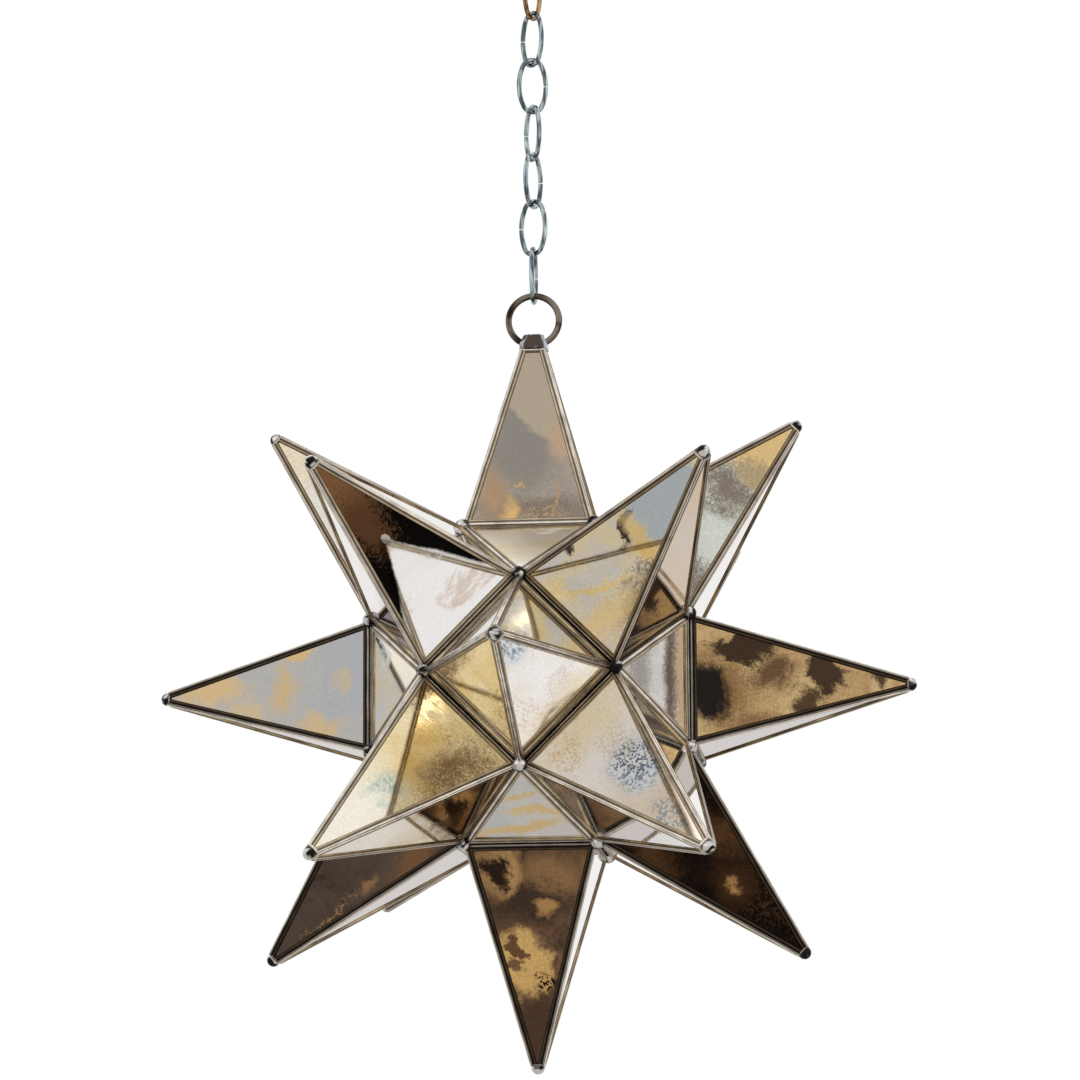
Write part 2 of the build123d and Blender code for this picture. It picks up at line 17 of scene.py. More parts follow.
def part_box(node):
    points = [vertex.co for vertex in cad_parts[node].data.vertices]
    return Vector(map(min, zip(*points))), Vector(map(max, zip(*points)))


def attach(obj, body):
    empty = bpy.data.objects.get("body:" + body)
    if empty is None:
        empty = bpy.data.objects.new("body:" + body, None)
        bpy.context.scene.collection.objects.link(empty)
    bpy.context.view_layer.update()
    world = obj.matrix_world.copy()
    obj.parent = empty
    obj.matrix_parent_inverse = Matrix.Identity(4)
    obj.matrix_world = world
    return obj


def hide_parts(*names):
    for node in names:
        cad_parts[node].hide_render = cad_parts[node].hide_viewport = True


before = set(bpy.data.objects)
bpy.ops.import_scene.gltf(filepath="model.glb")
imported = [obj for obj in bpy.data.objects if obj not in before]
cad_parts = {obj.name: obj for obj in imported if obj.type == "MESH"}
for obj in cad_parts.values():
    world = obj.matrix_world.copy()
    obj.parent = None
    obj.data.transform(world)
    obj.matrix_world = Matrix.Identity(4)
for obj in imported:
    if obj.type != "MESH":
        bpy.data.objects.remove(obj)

logging.basicConfig(level=logging.INFO, format="%(message)s")
log = logging.getLogger("star_pendant")

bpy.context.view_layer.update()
MM = 0.001
Outline = list[tuple[float, float]]
Adder = Callable[..., NodeSocket]

# How far apart two places may lie and still count as one: loosely, closely, and when doubles are welded.
LOOSE, CLOSE, WELD = 0.2 * MM, 0.02 * MM, 0.005 * MM

# From which share of its length a direction counts as facing front or rear, as leaning sideways, as level.
FACING, LEANING, LEVEL = 0.6, 0.3, 0.1

# The span that holds most values of cloudy noise.
NOISE_SPAN = {"From Min": 0.3, "From Max": 0.7}

# The numbers of a colour mix's factor, lower colour, upper colour and result.
FACTOR, BELOW, ABOVE, MIXED = 0, 6, 7, 2

IN_PLANE = (1.0, 1.0, 0.0)
EIGHTH_TURN = Matrix.Rotation(radians(45), 3, "Y")


class Side(Enum):
    """The way a sloping pane looks, sideways from the middle line of its own point."""

    FRONT = "front"
    REAR = "rear"
    LEFT = "left"
    RIGHT = "right"
    UPPER = "upper"
    LOWER = "lower"
    UPPER_LEFT = "upper_left"
    UPPER_RIGHT = "upper_right"
    LOWER_LEFT = "lower_left"
    LOWER_RIGHT = "lower_right"

    @classmethod
    def of(cls, outward: Vector) -> "Side":
        """Name a sideways direction.

        Args:
            outward: unit vector square to the point's middle line.

        Returns:
            The side that the vector looks to.
        """
        if abs(outward.y) > FACING:
            return cls.FRONT if outward.y < 0 else cls.REAR
        height = "upper" if outward.z > LEANING else "lower" if outward.z < -LEANING else ""
        hand = "left" if outward.x < -LEANING else "right" if outward.x > LEANING else ""
        return cls("_".join(word for word in (height, hand) if word))


class Base(Enum):
    """What a sloping pane meets along its base edge."""

    VALLEY = "valley"
    FLAT = "flat"


class CameTone(Enum):
    """How a point's cames are coloured: one came metal painted lit, plain or in shade, for the light and
    reflections that each catches.
    """

    LIT_PEWTER = "lit_pewter"
    BRONZE = "bronze"
    SHADED_BRONZE = "shaded_bronze"


class Look(Enum):
    """The ageing of one mirror pane, with painted reflections and a painted highlight on a few."""

    (SMOKE, BLUE_GOLD, TORTOISE, DARK_AMBER, NIGHT, NIGHT_COPPER, UMBER, GOLD_SLATE, OLIVE_GOLD, HONEY,
     RUSSET, PEARL, CHAMPAGNE, STRAW, MILK, MIST, ROSE_WHITE, PEACH, FROST, GLOW, GREY_VEIN, GREY) = range(22)


class Spread(Enum):
    """How a patch of ageing or of painted reflection lies: round, pointed like a wedge, or broken up into
    flecks.
    """

    ROUND = "round"
    WEDGE = "wedge"
    FLECKS = "flecks"


def linear(colour: str) -> tuple[float, float, float, float]:
    """Turn a written colour into the renderer's linear values.

    Args:
        colour: sRGB colour as six hexadecimal digits.

    Returns:
        Linear red, green and blue, with an alpha of one.
    """
    parts = [int(colour[i:i + 2], 16) / 255 for i in (0, 2, 4)]
    red, green, blue = [p / 12.92 if p <= 0.04045 else ((p + 0.055) / 1.055) ** 2.4 for p in parts]
    return red, green, blue, 1.0


def feed(tree: NodeTree, node: Node, inputs: dict) -> None:
    """Set or link a node's inputs.

    Args:
        tree: the node tree.
        node: the node.
        inputs: value or output socket for each named or numbered input.
    """
    for key, value in inputs.items():
        if isinstance(value, NodeSocket):
            tree.links.new(value, node.inputs[key])
        else:
            node.inputs[key].default_value = value


def add_node(tree: NodeTree, kind: str, inputs: dict, output: int | str = 0, **settings) -> NodeSocket:
    """Add one node with its settings and links.

    Args:
        tree: the node tree.
        kind: the node's type name, without the words that all of them begin with.
        inputs: value or output socket for each named or numbered input.
        output: which of its outputs is wanted.
        settings: the node's own properties.

    Returns:
        The output.
    """
    node = tree.nodes.new(f"ShaderNode{kind}")
    for key, value in settings.items():
        setattr(node, key, value)
    feed(tree, node, inputs)
    return node.outputs[output]


@dataclass(frozen=True)
class Mottle:
    """Cloudy noise: the size of its features, how many finer layers it has and how far it is swirled."""

    size: float
    layers: float
    swirl: float = 0.0
    roughness: float = 0.58

    def at(self, place: NodeSocket) -> dict:
        """Returns: what the noise's inputs get, at the given coordinates."""
        return {"Vector": place, "Scale": 1 / self.size, "Detail": self.layers,
                "Roughness": self.roughness, "Distortion": self.swirl}


@dataclass(frozen=True)
class Finish:
    """What all finishes have in common: they lead some values and nodes to one shader."""

    def surface(self, add: Adder) -> dict:
        """Add the finish's nodes.

        Args:
            add: adds a node to the material.

        Returns:
            What the shader's inputs get: a value or an output socket each.
        """
        raise NotImplementedError

    def material(self, name: str) -> Material:
        """Make the finish.

        Args:
            name: the material's name.

        Returns:
            The material.
        """
        material = bpy.data.materials.new(name)
        material.use_nodes = True
        tree = material.node_tree
        feed(tree, tree.nodes["Principled BSDF"], self.surface(partial(add_node, tree)))
        return material


@dataclass(frozen=True)
class Patch:
    """One patch on a pane, of ageing, painted reflection or painted highlight: its place and size in
    millimetres, its turn in degrees.

    The place is measured from the middle of a sloping pane's base edge, or of a flat triangle.
    """

    across: float
    along: float
    wide: float
    long: float
    colour: str
    turn: float = 0.0
    soft: float = 0.35
    fleck: float = 0.4
    spread: Spread = Spread.ROUND


flecks = partial(Patch, spread=Spread.FLECKS)


@dataclass(frozen=True)
class AntiqueMirror(Finish):
    """Silvered glass whose silver has bloomed and foxed.

    The eye gets a mirror that is clear in places, clouded gold or grey in others, and eaten to brown and
    black in grainy blotches, all under a smooth glass face. On a few panes some patches are painted
    reflections and a painted highlight.
    """

    silver: str
    bloom: str
    foxing: str
    deep: str
    patches: tuple[Patch, ...] = ()
    bloom_edge: tuple[float, float] = (0.42, 0.58)
    fox_edge: tuple[float, float] = (0.56, 0.64)
    deep_edge: tuple[float, float] = (0.62, 0.70)
    cloud: float = 60 * MM
    blotch: float = 38 * MM
    speck: float = 2.6 * MM
    grain: float = 1.3 * MM
    swirl: float = 30 * MM
    ripple: float = 34 * MM
    warp: float = 60 * MM
    drift: float = 0.0
    stretch: tuple[float, float, float] = (1.0, 1.0, 1.0)
    grit: float = 0.14
    gloss: float = 0.05
    fox_dulling: float = 0.16
    coat: float = 0.4
    ragged: float = 0.22
    fray: float = 1.4
    fray_middle: float = 1.2
    fleck_edge: tuple[float, float] = (1.2, 1.3)

    def surface(self, add: Adder) -> dict:
        """Lay bloom, foxing, patches and grain over the silver, under a faintly rippled face.

        Args:
            add: adds a node to the material.

        Returns:
            What the shader's inputs get: a value or an output socket each.
        """
        coords = add("TexCoord", {}, "Object")
        place = add("Mapping", {
            "Vector": coords, "Location": (self.drift, self.drift, 0.0), "Scale": self.stretch})
        cloud, blotch, speck, grain = (add("TexNoise", mottle.at(place)) for mottle in (
            Mottle(self.cloud, 4.0, 0.9), Mottle(self.blotch, 7.0, 0.7), Mottle(self.speck, 3.0, 0.4),
            Mottle(self.grain, 2.0)))
        ragged = add("Math", {0: speck, 1: self.ragged, 2: blotch}, operation="MULTIPLY_ADD")
        eaten = add("Math", {0: ragged, 1: self.ragged / 2}, operation="SUBTRACT")
        colour, masks = linear(self.silver), []
        for level, (start, full), tint in (
                (cloud, self.bloom_edge, self.bloom), (eaten, self.fox_edge, self.foxing),
                (eaten, self.deep_edge, self.deep)):
            masks.append(add("MapRange", {"Value": level, "From Min": start, "From Max": full},
                             interpolation_type="SMOOTHSTEP"))
            colour = add("Mix", {FACTOR: masks[-1], BELOW: colour, ABOVE: linear(tint)}, MIXED,
                         data_type="RGBA")
        fray = add("Math", {0: speck, 1: self.fray, 2: grain}, operation="MULTIPLY_ADD")
        colour = self.patched(add, place, fray, colour)
        level = add("MapRange", {
            "Value": grain, **NOISE_SPAN, "To Min": 1.0 - self.grit, "To Max": 1.0 + self.grit})
        ripple = add("TexNoise", Mottle(self.ripple, 1.0).at(coords))
        return {
            "Base Color": add("VectorMath", {0: colour, "Scale": level}, operation="SCALE"),
            "Roughness": add("MapRange", {
                "Value": masks[1], "To Min": self.gloss, "To Max": self.gloss + self.fox_dulling}),
            "Normal": add("Bump", {"Strength": 0.2, "Distance": 0.4 * MM, "Height": ripple}),
            "Metallic": 1.0, "Coat Weight": self.coat, "Coat Roughness": 0.03}

    def patched(self, add: Adder, place: NodeSocket, fray: NodeSocket, colour: NodeSocket) -> NodeSocket:
        """Lay the pane's own patches over its clouds, each with a swirled and grainy edge.

        Args:
            add: adds a node to the material.
            place: the coordinates of the clouds.
            fray: the grain that frays a patch's edge.
            colour: the colour below.

        Returns:
            The colour with the patches on it.
        """
        pane = add("TexCoord", {}, "UV")
        swirl = add("TexNoise", Mottle(self.swirl, 5.0, 0.4, 0.6).at(place), "Color")
        shifted = add("VectorMath", {0: swirl, 1: (self.warp,) * 3, 2: pane}, operation="MULTIPLY_ADD")
        warped = add("VectorMath", {0: shifted, 1: (self.warp / 2, self.warp / 2, 0.0)}, operation="SUBTRACT")
        flat = add("VectorMath", {0: warped, 1: IN_PLANE}, operation="MULTIPLY")
        for patch in self.patches:
            away = add("Mapping", {
                "Vector": flat, "Location": (patch.across * MM, patch.along * MM, 0.0),
                "Rotation": (0.0, 0.0, radians(patch.turn)),
                "Scale": (patch.wide * MM, patch.long * MM, 1.0)}, vector_type="TEXTURE")
            if patch.spread is Spread.WEDGE:
                away = add("VectorMath", {0: away}, operation="ABSOLUTE")
                away = add("VectorMath", {0: away, 1: IN_PLANE}, "Value", operation="DOT_PRODUCT")
            else:
                away = add("VectorMath", {0: away}, "Value", operation="LENGTH")
            frayed = add("Math", {0: fray, 1: patch.fleck, 2: away}, operation="MULTIPLY_ADD")
            edge = 1.0 + self.fray_middle * patch.fleck
            inside = add("MapRange", {
                "Value": frayed, "From Min": edge + patch.soft, "From Max": edge - patch.soft},
                interpolation_type="SMOOTHSTEP")
            if patch.spread is Spread.FLECKS:
                start, full = self.fleck_edge
                broken = add("MapRange", {"Value": fray, "From Min": start, "From Max": full},
                             interpolation_type="SMOOTHSTEP")
                inside = add("Math", {0: inside, 1: broken}, operation="MULTIPLY")
            colour = add("Mix", {FACTOR: inside, BELOW: colour, ABOVE: linear(patch.colour)}, MIXED,
                         data_type="RGBA")
        return colour


@dataclass(frozen=True)
class CameMetal(Finish):
    """Soldered lead-tin came, waxed and darkened.

    The eye gets a rounded taupe strip: near-black lines down its middle and next to the glass, which are
    painted shade of a rounded channel and partly dirt, a painted highlight on its outer half and warm painted
    highlights next to the glass.
    """

    # The first colour is painted shade in the groove and next to the glass, where dirt also sits; the third
    # and fourth are painted highlights.
    dirt_and_painted_shade: str
    body: str
    painted_highlight: str
    warm_painted_highlight: str
    width: float = 4.8 * MM
    sway: float = 30 * MM
    sway_share: float = 0.16
    wear: float = 14 * MM
    pitting: float = 1.6 * MM

    def surface(self, add: Adder) -> dict:
        """Draw the bands along the strip, let them sway and wear them unevenly.

        Args:
            add: adds a node to the material.

        Returns:
            What the shader's inputs get: a value or an output socket each.
        """
        coords = add("TexCoord", {}, "Object")
        inward = add("SeparateXYZ", {0: add("TexCoord", {}, "UV")})
        across = add("Math", {0: inward, 1: 1 / self.width}, operation="MULTIPLY")
        sway, worn, pits = (add("TexNoise", mottle.at(coords)) for mottle in (
            Mottle(self.sway, 2.0), Mottle(self.wear, 4.0, 0.3), Mottle(self.pitting, 3.0)))
        swayed = add("Math", {0: sway, 1: self.sway_share, 2: across}, operation="MULTIPLY_ADD")
        centred = add("Math", {0: swayed, 1: self.sway_share / 2}, operation="SUBTRACT")
        bands = add("ValToRGB", {"Fac": centred})
        # Colours by their share of the way from the outer edge to the glass: light lines of painted
        # highlight, and dark lines of painted shade in the groove and next to the glass, where dirt also
        # sits.
        stops = (
            (0.02, self.body), (0.22, self.painted_highlight), (0.36, self.body), (0.52, self.dirt_and_painted_shade), (0.62, self.body),
            (0.77, self.warm_painted_highlight), (0.86, self.body), (0.93, self.dirt_and_painted_shade), (0.985, self.warm_painted_highlight))
        elements = bands.node.color_ramp.elements
        while len(elements) < len(stops):
            elements.new(1.0)
        for element, (place, colour) in zip(elements, stops):
            element.position = place
            element.color = linear(colour)
        level = add("MapRange", {"Value": worn, **NOISE_SPAN, "To Min": 0.66, "To Max": 1.28})
        return {
            "Base Color": add("VectorMath", {0: bands, "Scale": level}, operation="SCALE"),
            "Roughness": add("MapRange", {"Value": worn, "To Min": 0.16, "To Max": 0.40}),
            "Normal": add("Bump", {"Strength": 0.3, "Distance": 0.08 * MM, "Height": pits}),
            "Metallic": 1.0}


@dataclass(frozen=True)
class WornMetalWithPaintedReflections(Finish):
    """A plated or plain metal with tarnish in patches and fine handling marks.

    The eye gets one metal colour that drifts to its darker colour, with gloss that changes with it. On the
    beads, chain, ring and cap the bright and dark patches are painted reflections as well as tarnish. On
    drawn wire the patches are drawn out into streaks along it, painted highlight and shade lines.
    """

    bright: str
    tarnish_and_dark_reflection: str
    patch: float
    mark: float
    detail: float = 5.0
    edge: tuple[float, float] = (0.40, 0.62)
    gloss: float = 0.16
    dull: float = 0.38
    stretch: tuple[float, float, float] = (1.0, 1.0, 1.0)

    def surface(self, add: Adder) -> dict:
        """Let the tarnish and painted dark reflection take the colour and the gloss, and scratch the whole
        finely.

        Args:
            add: adds a node to the material.

        Returns:
            What the shader's inputs get: a value or an output socket each.
        """
        coords = add("TexCoord", {}, "Object")
        drawn = add("Mapping", {"Vector": coords, "Scale": self.stretch})
        patch = add("TexNoise", Mottle(self.patch, self.detail, 0.5).at(drawn))
        mask = add("MapRange", {"Value": patch, "From Min": self.edge[0], "From Max": self.edge[1]},
                   interpolation_type="SMOOTHSTEP")
        marks = add("TexNoise", Mottle(self.mark, 3.0).at(coords))
        return {
            "Base Color": add("Mix", {
                FACTOR: mask, BELOW: linear(self.bright), ABOVE: linear(self.tarnish_and_dark_reflection)}, MIXED,
                data_type="RGBA"),
            "Roughness": add("MapRange", {"Value": mask, "To Min": self.gloss, "To Max": self.dull}),
            "Normal": add("Bump", {"Strength": 0.2, "Distance": 0.02 * MM, "Height": marks}),
            "Metallic": 1.0}


@dataclass(frozen=True)
class Glazed(Finish):
    """A plain body with a gloss over it: glazed porcelain, opal glass, clear plastic or backing paint.

    The eye gets a smooth surface with faint clouding, and a clean highlight on top.
    """

    body: str
    cloud: str
    size: float
    roughness: float
    clear: float = 0.0
    coat: float = 0.0
    dulling: float = 0.08

    def surface(self, add: Adder) -> dict:
        """Cloud the body faintly.

        Args:
            add: adds a node to the material.

        Returns:
            What the shader's inputs get: a value or an output socket each.
        """
        coords = add("TexCoord", {}, "Object")
        cloud = add("TexNoise", Mottle(self.size, 3.0, 0.4).at(coords))
        mask = add("MapRange", {"Value": cloud, "From Min": 0.40, "From Max": 0.66},
                   interpolation_type="SMOOTHSTEP")
        return {
            "Base Color": add("Mix", {
                FACTOR: mask, BELOW: linear(self.body), ABOVE: linear(self.cloud)}, MIXED,
                data_type="RGBA"),
            "Roughness": add("MapRange", {
                "Value": mask, "To Min": self.roughness, "To Max": self.roughness + self.dulling}),
            "Transmission Weight": self.clear, "Coat Weight": self.coat}


@dataclass(frozen=True)
class Matte(Finish):
    """Flat paint. The eye gets one even, dull tone."""

    colour: str
    roughness: float

    def surface(self, add: Adder) -> dict:
        """Returns: the paint's colour and roughness."""
        return {"Base Color": linear(self.colour), "Roughness": self.roughness}


# The glass: silver, bloom, foxing and deep foxing of each look, with its patches of ageing, and on a few
# looks painted reflections and a painted highlight.
MIRRORS = {
    Look.SMOKE: AntiqueMirror("9a9085", "a3988b", "8b8177", "756b62", (
        Patch(-6, 60, 26, 36, "878178", soft=0.5, fleck=0.3),
        Patch(24, 106, 57, 55, "aa9c87", soft=0.05, fleck=0.1, spread=Spread.WEDGE),
        Patch(20, 62, 9, 12, "b59a7e", soft=0.7), Patch(0, 12, 40, 9, "7f7163", soft=0.8, fleck=0.9),
        Patch(-25, 24, 8, 18, "a88a69", soft=0.9, fleck=0.7),
        Patch(-14, 9, 4, 9, "d6ae6e", soft=0.8, fleck=0.8), Patch(18, 16, 1, 15, "b38d62", soft=0.6),
        Patch(-6, 32, 1.2, 5, "c39d6c", -60, soft=0.5), flecks(8, 7, 16, 5, "b08f66", soft=0.6)),
        warp=26 * MM, grit=0.09),
    Look.BLUE_GOLD: AntiqueMirror("979799", "9c9a96", "ab9a80", "8f9195", (
        Patch(3, 116, 10, 22, "b89e75", soft=0.5, fleck=0.8),
        Patch(28, 60, 6, 12, "b89c70", soft=0.4, fleck=0.7),
        Patch(-15, 92, 8, 16, "b09e80", soft=0.5, fleck=0.8),
        Patch(-25, 36, 10, 14, "b19b78", soft=0.5, fleck=0.8),
        Patch(2, 62, 12, 9, "b0986f", soft=0.8, fleck=1.3),
        Patch(6, 18, 5, 7, "aa9a80", soft=0.8, fleck=0.9)), fox_edge=(0.56, 0.74), deep_edge=(0.72, 0.84),
        warp=44 * MM, drift=0.31, grit=0.08),
    Look.TORTOISE: AntiqueMirror("c0a576", "b09064", "93734e", "6b5035", (
        Patch(6, 22, 24, 20, "82633f", soft=0.7), Patch(6, 13, 16, 13, "1b1511", soft=0.4, fleck=0.2),
        Patch(-24, 38, 10, 20, "3a2a1c", soft=0.25, fleck=0.3), Patch(-6, 56, 12, 13, "624930", soft=0.6),
        Patch(-3, 92, 12, 14, "402f20", soft=0.22, fleck=0.3), Patch(14, 78, 7, 10, "4d3926", soft=0.4),
        Patch(-2, 126, 7, 10, "503b28", soft=0.3), Patch(28, 44, 7, 16, "7f6241", soft=0.7)),
        fox_edge=(0.56, 0.70), deep_edge=(0.68, 0.80), warp=48 * MM, drift=0.12, grit=0.22, coat=0.15),
    Look.DARK_AMBER: AntiqueMirror("614934", "725540", "4a382c", "35281f", (
        Patch(20, 22, 17, 16, "b18b5c", soft=0.4), Patch(24, 20, 10, 9, "291b12", soft=0.4),
        Patch(-18, 22, 18, 10, "8c6b47", soft=0.7), Patch(-2, 42, 34, 12, "403127", soft=0.6),
        Patch(-14, 44, 9, 5, "ab8353", soft=0.4), Patch(6, 82, 22, 21, "d2ab6c", soft=0.2, fleck=0.3),
        Patch(10, 68, 4, 5, "6a4c34", soft=0.3), Patch(13, 80, 4, 6, "7b5a3e", soft=0.3),
        flecks(-6, 92, 12, 9, "14100d", soft=0.2), Patch(0, 124, 16, 22, "4f3a2c", soft=0.4)),
        fox_edge=(0.52, 0.66), deep_edge=(0.62, 0.76), warp=44 * MM, drift=0.53, grit=0.2, coat=0.1),
    Look.NIGHT: AntiqueMirror("060403", "090605", "1c120b", "2e1e12", (
        Patch(-3, 134, 17, 38, "805b3c", soft=0.6, fleck=1.0),
        Patch(-4, 94, 10, 24, "5a3d27", soft=0.6, fleck=1.6),
        # A pale wedge and a small pale dot of clear silver: painted reflection of the front point's pane and
        # its bead.
        Patch(-1, -2, 48, 82, "f4f2f0", soft=0.03, fleck=0.02, spread=Spread.WEDGE),
        Patch(-1, 80, 3, 4, "b9b6b3", soft=0.05, fleck=0.02)), fox_edge=(0.58, 0.70), deep_edge=(0.70, 0.80),
        warp=6 * MM, drift=0.74, grit=0.03, coat=0.06),
    Look.NIGHT_COPPER: AntiqueMirror("0c0805", "150d08", "26180e", "3d2918", (
        Patch(24, 32, 11, 22, "4a311d", soft=0.8, fleck=1.2),
        Patch(-20, 56, 9, 18, "50351f", soft=0.8, fleck=1.2),
        Patch(4, 82, 11, 11, "432c1a", soft=0.9, fleck=0.9),
        Patch(4, 82, 3, 4, "b98c58", soft=0.9, fleck=0.6), flecks(-6, 104, 12, 34, "3a2616", soft=0.8)),
        fox_edge=(0.54, 0.72), deep_edge=(0.68, 0.82), warp=40 * MM, drift=0.74, grit=0.35, coat=0.06),
    Look.UMBER: AntiqueMirror("54473e", "4b3f36", "382e27", "5d4934", (
        Patch(-14, 66, 3, 9, "8f6b49", soft=0.6, fleck=0.7),
        Patch(-27, 27, 9, 24, "75553a", soft=0.6, fleck=1.1), flecks(-9, 102, 4, 26, "94714a", soft=0.6)),
        fox_edge=(0.54, 0.70), deep_edge=(0.70, 0.78), warp=36 * MM, drift=0.27, coat=0.1),
    Look.GOLD_SLATE: AntiqueMirror("cfc9c4", "dccba5", "ceb68c", "9c815a", (
        Patch(-4, 112, 26, 32, "b0b7bb", soft=0.2, fleck=0.2),
        Patch(-10, 74, 4, 12, "2c2117", 20, soft=0.35, fleck=0.7),
        Patch(-34, 40, 5, 8, "3a2c1f", -30, soft=0.4, fleck=0.6), Patch(6, 76, 20, 7, "d8bd84", -8, soft=0.5),
        Patch(25, 46, 9, 24, "6f5f4e", soft=0.7, fleck=1.4), Patch(20, 20, 12, 22, "dcc596", soft=0.7),
        Patch(-2, 46, 10, 15, "cac7c4", soft=0.4), Patch(2, 34, 3, 26, "e0c68d", -35, soft=0.5)),
        bloom_edge=(0.46, 0.58), fox_edge=(0.60, 0.74), deep_edge=(0.72, 0.84), warp=44 * MM, drift=0.95,
        grit=0.09),
    Look.OLIVE_GOLD: AntiqueMirror("c3c4b9", "ccc7b6", "b7ac93", "9d9283", (
        Patch(0, 124, 30, 28, "d2b37c", soft=0.4, fleck=0.6),
        Patch(2, 80, 16, 16, "7b7065", soft=0.8, fleck=1.2), Patch(24, 54, 20, 13, "c8cbc1", soft=0.3),
        Patch(34, 22, 10, 15, "7d7268", soft=0.7, fleck=1.4),
        Patch(4, 102, 12, 8, "a8946f", soft=0.6, fleck=1.0)), fox_edge=(0.60, 0.72), deep_edge=(0.72, 0.82),
        warp=44 * MM, drift=0.41),
    Look.HONEY: AntiqueMirror("e8dbb8", "e6d5ac", "d8c08f", "bfa06e", (
        Patch(-20, 36, 15, 28, "806747", soft=1.0, fleck=1.3),
        Patch(36, 4, 9, 16, "7d654e", soft=0.8, fleck=0.9), Patch(4, 116, 30, 42, "f0eadb", soft=0.8),
        Patch(-1, 76, 10, 13, "d3d8cc", soft=0.5, fleck=1.0), flecks(-1, 76, 10, 13, "9fb0a4", soft=0.4),
        Patch(8, 50, 16, 22, "dfc48c", soft=0.9)), fox_edge=(0.60, 0.74), deep_edge=(0.72, 0.84),
        warp=44 * MM, drift=0.66, grit=0.10),
    Look.RUSSET: AntiqueMirror("d3bd97", "dccbaa", "b0946e", "8b7156", (
        Patch(0, 112, 30, 46, "eee9de", soft=0.7), Patch(-10, 14, 38, 16, "957b5d", soft=0.8, fleck=0.9),
        Patch(14, 52, 9, 16, "bd9d70", soft=0.6)), drift=0.44),
    Look.PEARL: AntiqueMirror("f6f3f1", "f2ece7", "eae2db", "ded5cd", (
        Patch(-2, 104, 30, 44, "e5d6c3", soft=0.9), Patch(-6, 66, 18, 20, "e4e7ea", soft=0.4, fleck=0.5),
        flecks(-6, 66, 18, 20, "8292a5", soft=0.3, fleck=0.7),
        flecks(-8, 62, 11, 12, "5a6775", soft=0.5, fleck=0.8), flecks(2, 112, 8, 16, "9aa5b0", soft=0.4),
        flecks(20, 22, 14, 16, "e0cebd", soft=0.6)), bloom_edge=(0.46, 0.62), fox_edge=(0.60, 0.74),
        deep_edge=(0.72, 0.82), speck=2.4 * MM, grain=1.5 * MM, warp=24 * MM, drift=0.18, grit=0.06),
    Look.CHAMPAGNE: AntiqueMirror("e8e5dc", "ece2c9", "f3efe5", "f6f3ee", (
        Patch(10, 30, 14, 12, "dcdcd4", soft=0.8),), bloom_edge=(0.46, 0.64), fox_edge=(0.58, 0.72),
        drift=0.83, grit=0.08),
    Look.STRAW: AntiqueMirror("f2ead6", "ebdcb8", "f4eee0", "f6f2e8", bloom_edge=(0.42, 0.60),
        fox_edge=(0.56, 0.66), stretch=(1.0, 1.0, 0.4), drift=0.58, grit=0.06),
    Look.MILK: AntiqueMirror("f3f1ef", "efe8dc", "e0d6c9", "d2c6b8", (
        flecks(6, 40, 13, 15, "d3c8bc", soft=0.4), Patch(4, 12, 40, 22, "ebddbd", soft=0.9, fleck=0.6)),
        bloom_edge=(0.48, 0.68), fox_edge=(0.62, 0.76), speck=1.8 * MM, drift=0.05, grit=0.06),
    Look.MIST: AntiqueMirror("c8c2b9", "cfc5b4", "bbb09f", "a89f92", (
        Patch(0, 130, 16, 30, "cabda6", soft=0.7),), bloom_edge=(0.46, 0.62), fox_edge=(0.60, 0.72),
        drift=0.71),
    Look.ROSE_WHITE: AntiqueMirror("dbd2d1", "dcd1ca", "d8c9b0", "cdbb9c", bloom_edge=(0.50, 0.66),
        fox_edge=(0.64, 0.78), drift=0.22, grit=0.05),
    Look.PEACH: AntiqueMirror("dbd5d6", "e6d2bb", "e4cca6", "d6b886", (
        Patch(0, 128, 14, 26, "e4caa8", soft=0.8),), bloom_edge=(0.42, 0.60), fox_edge=(0.58, 0.74),
        deep_edge=(0.72, 0.86), stretch=(1.0, 1.0, 0.5), drift=0.29, grit=0.05),
    Look.FROST: AntiqueMirror("f2f1f0", "eeebe8", "dccdc2", "cfbfb2", bloom_edge=(0.46, 0.62),
        fox_edge=(0.56, 0.64), stretch=(1.0, 1.0, 0.35), drift=0.48, grit=0.04),
    Look.GLOW: AntiqueMirror("e6dfd0", "e4d6b4", "eee9dd", "f3efe6", (
        # A pale patch with a white core near the tip: painted highlight, a hot spot of light.
        Patch(0, 34, 26, 20, "fbf4e2", soft=1.0, fleck=0.3),
        Patch(0, 38, 9, 9, "ffffff", soft=0.9, fleck=0.2)), bloom_edge=(0.44, 0.60), fox_edge=(0.56, 0.66),
        stretch=(0.5, 1.0, 1.6), drift=0.37, grit=0.06, gloss=0.34),
    Look.GREY_VEIN: AntiqueMirror("c3c5c5", "cfccc6", "c9bfa8", "b8ab92", (
        Patch(-8, -12, 32, 4, "d8bc86", 10, soft=0.5, fleck=0.6),
        Patch(8, 3, 24, 3, "dabf8b", -12, soft=0.5, fleck=0.6),
        Patch(-2, 20, 13, 3, "d6bd8c", 8, soft=0.5, fleck=0.6)), bloom_edge=(0.44, 0.58),
        fox_edge=(0.58, 0.70), warp=30 * MM, drift=0.37, grit=0.07),
    Look.GREY: AntiqueMirror("cfccc7", "c3bfb9", "aaa095", "8b7e71", (
        # The tan and dark bands along the base edge are painted reflection, partly foxing along the came.
        Patch(0, -18, 70, 9, "b39a78", soft=0.8, fleck=0.9),
        Patch(0, -7, 70, 5.5, "5c493c", soft=0.8, fleck=0.8),
        Patch(0, 26, 30, 9, "948d86", soft=0.8, fleck=1.0)), fox_edge=(0.60, 0.72), deep_edge=(0.70, 0.82),
        warp=16 * MM, drift=0.15, grit=0.08),
}

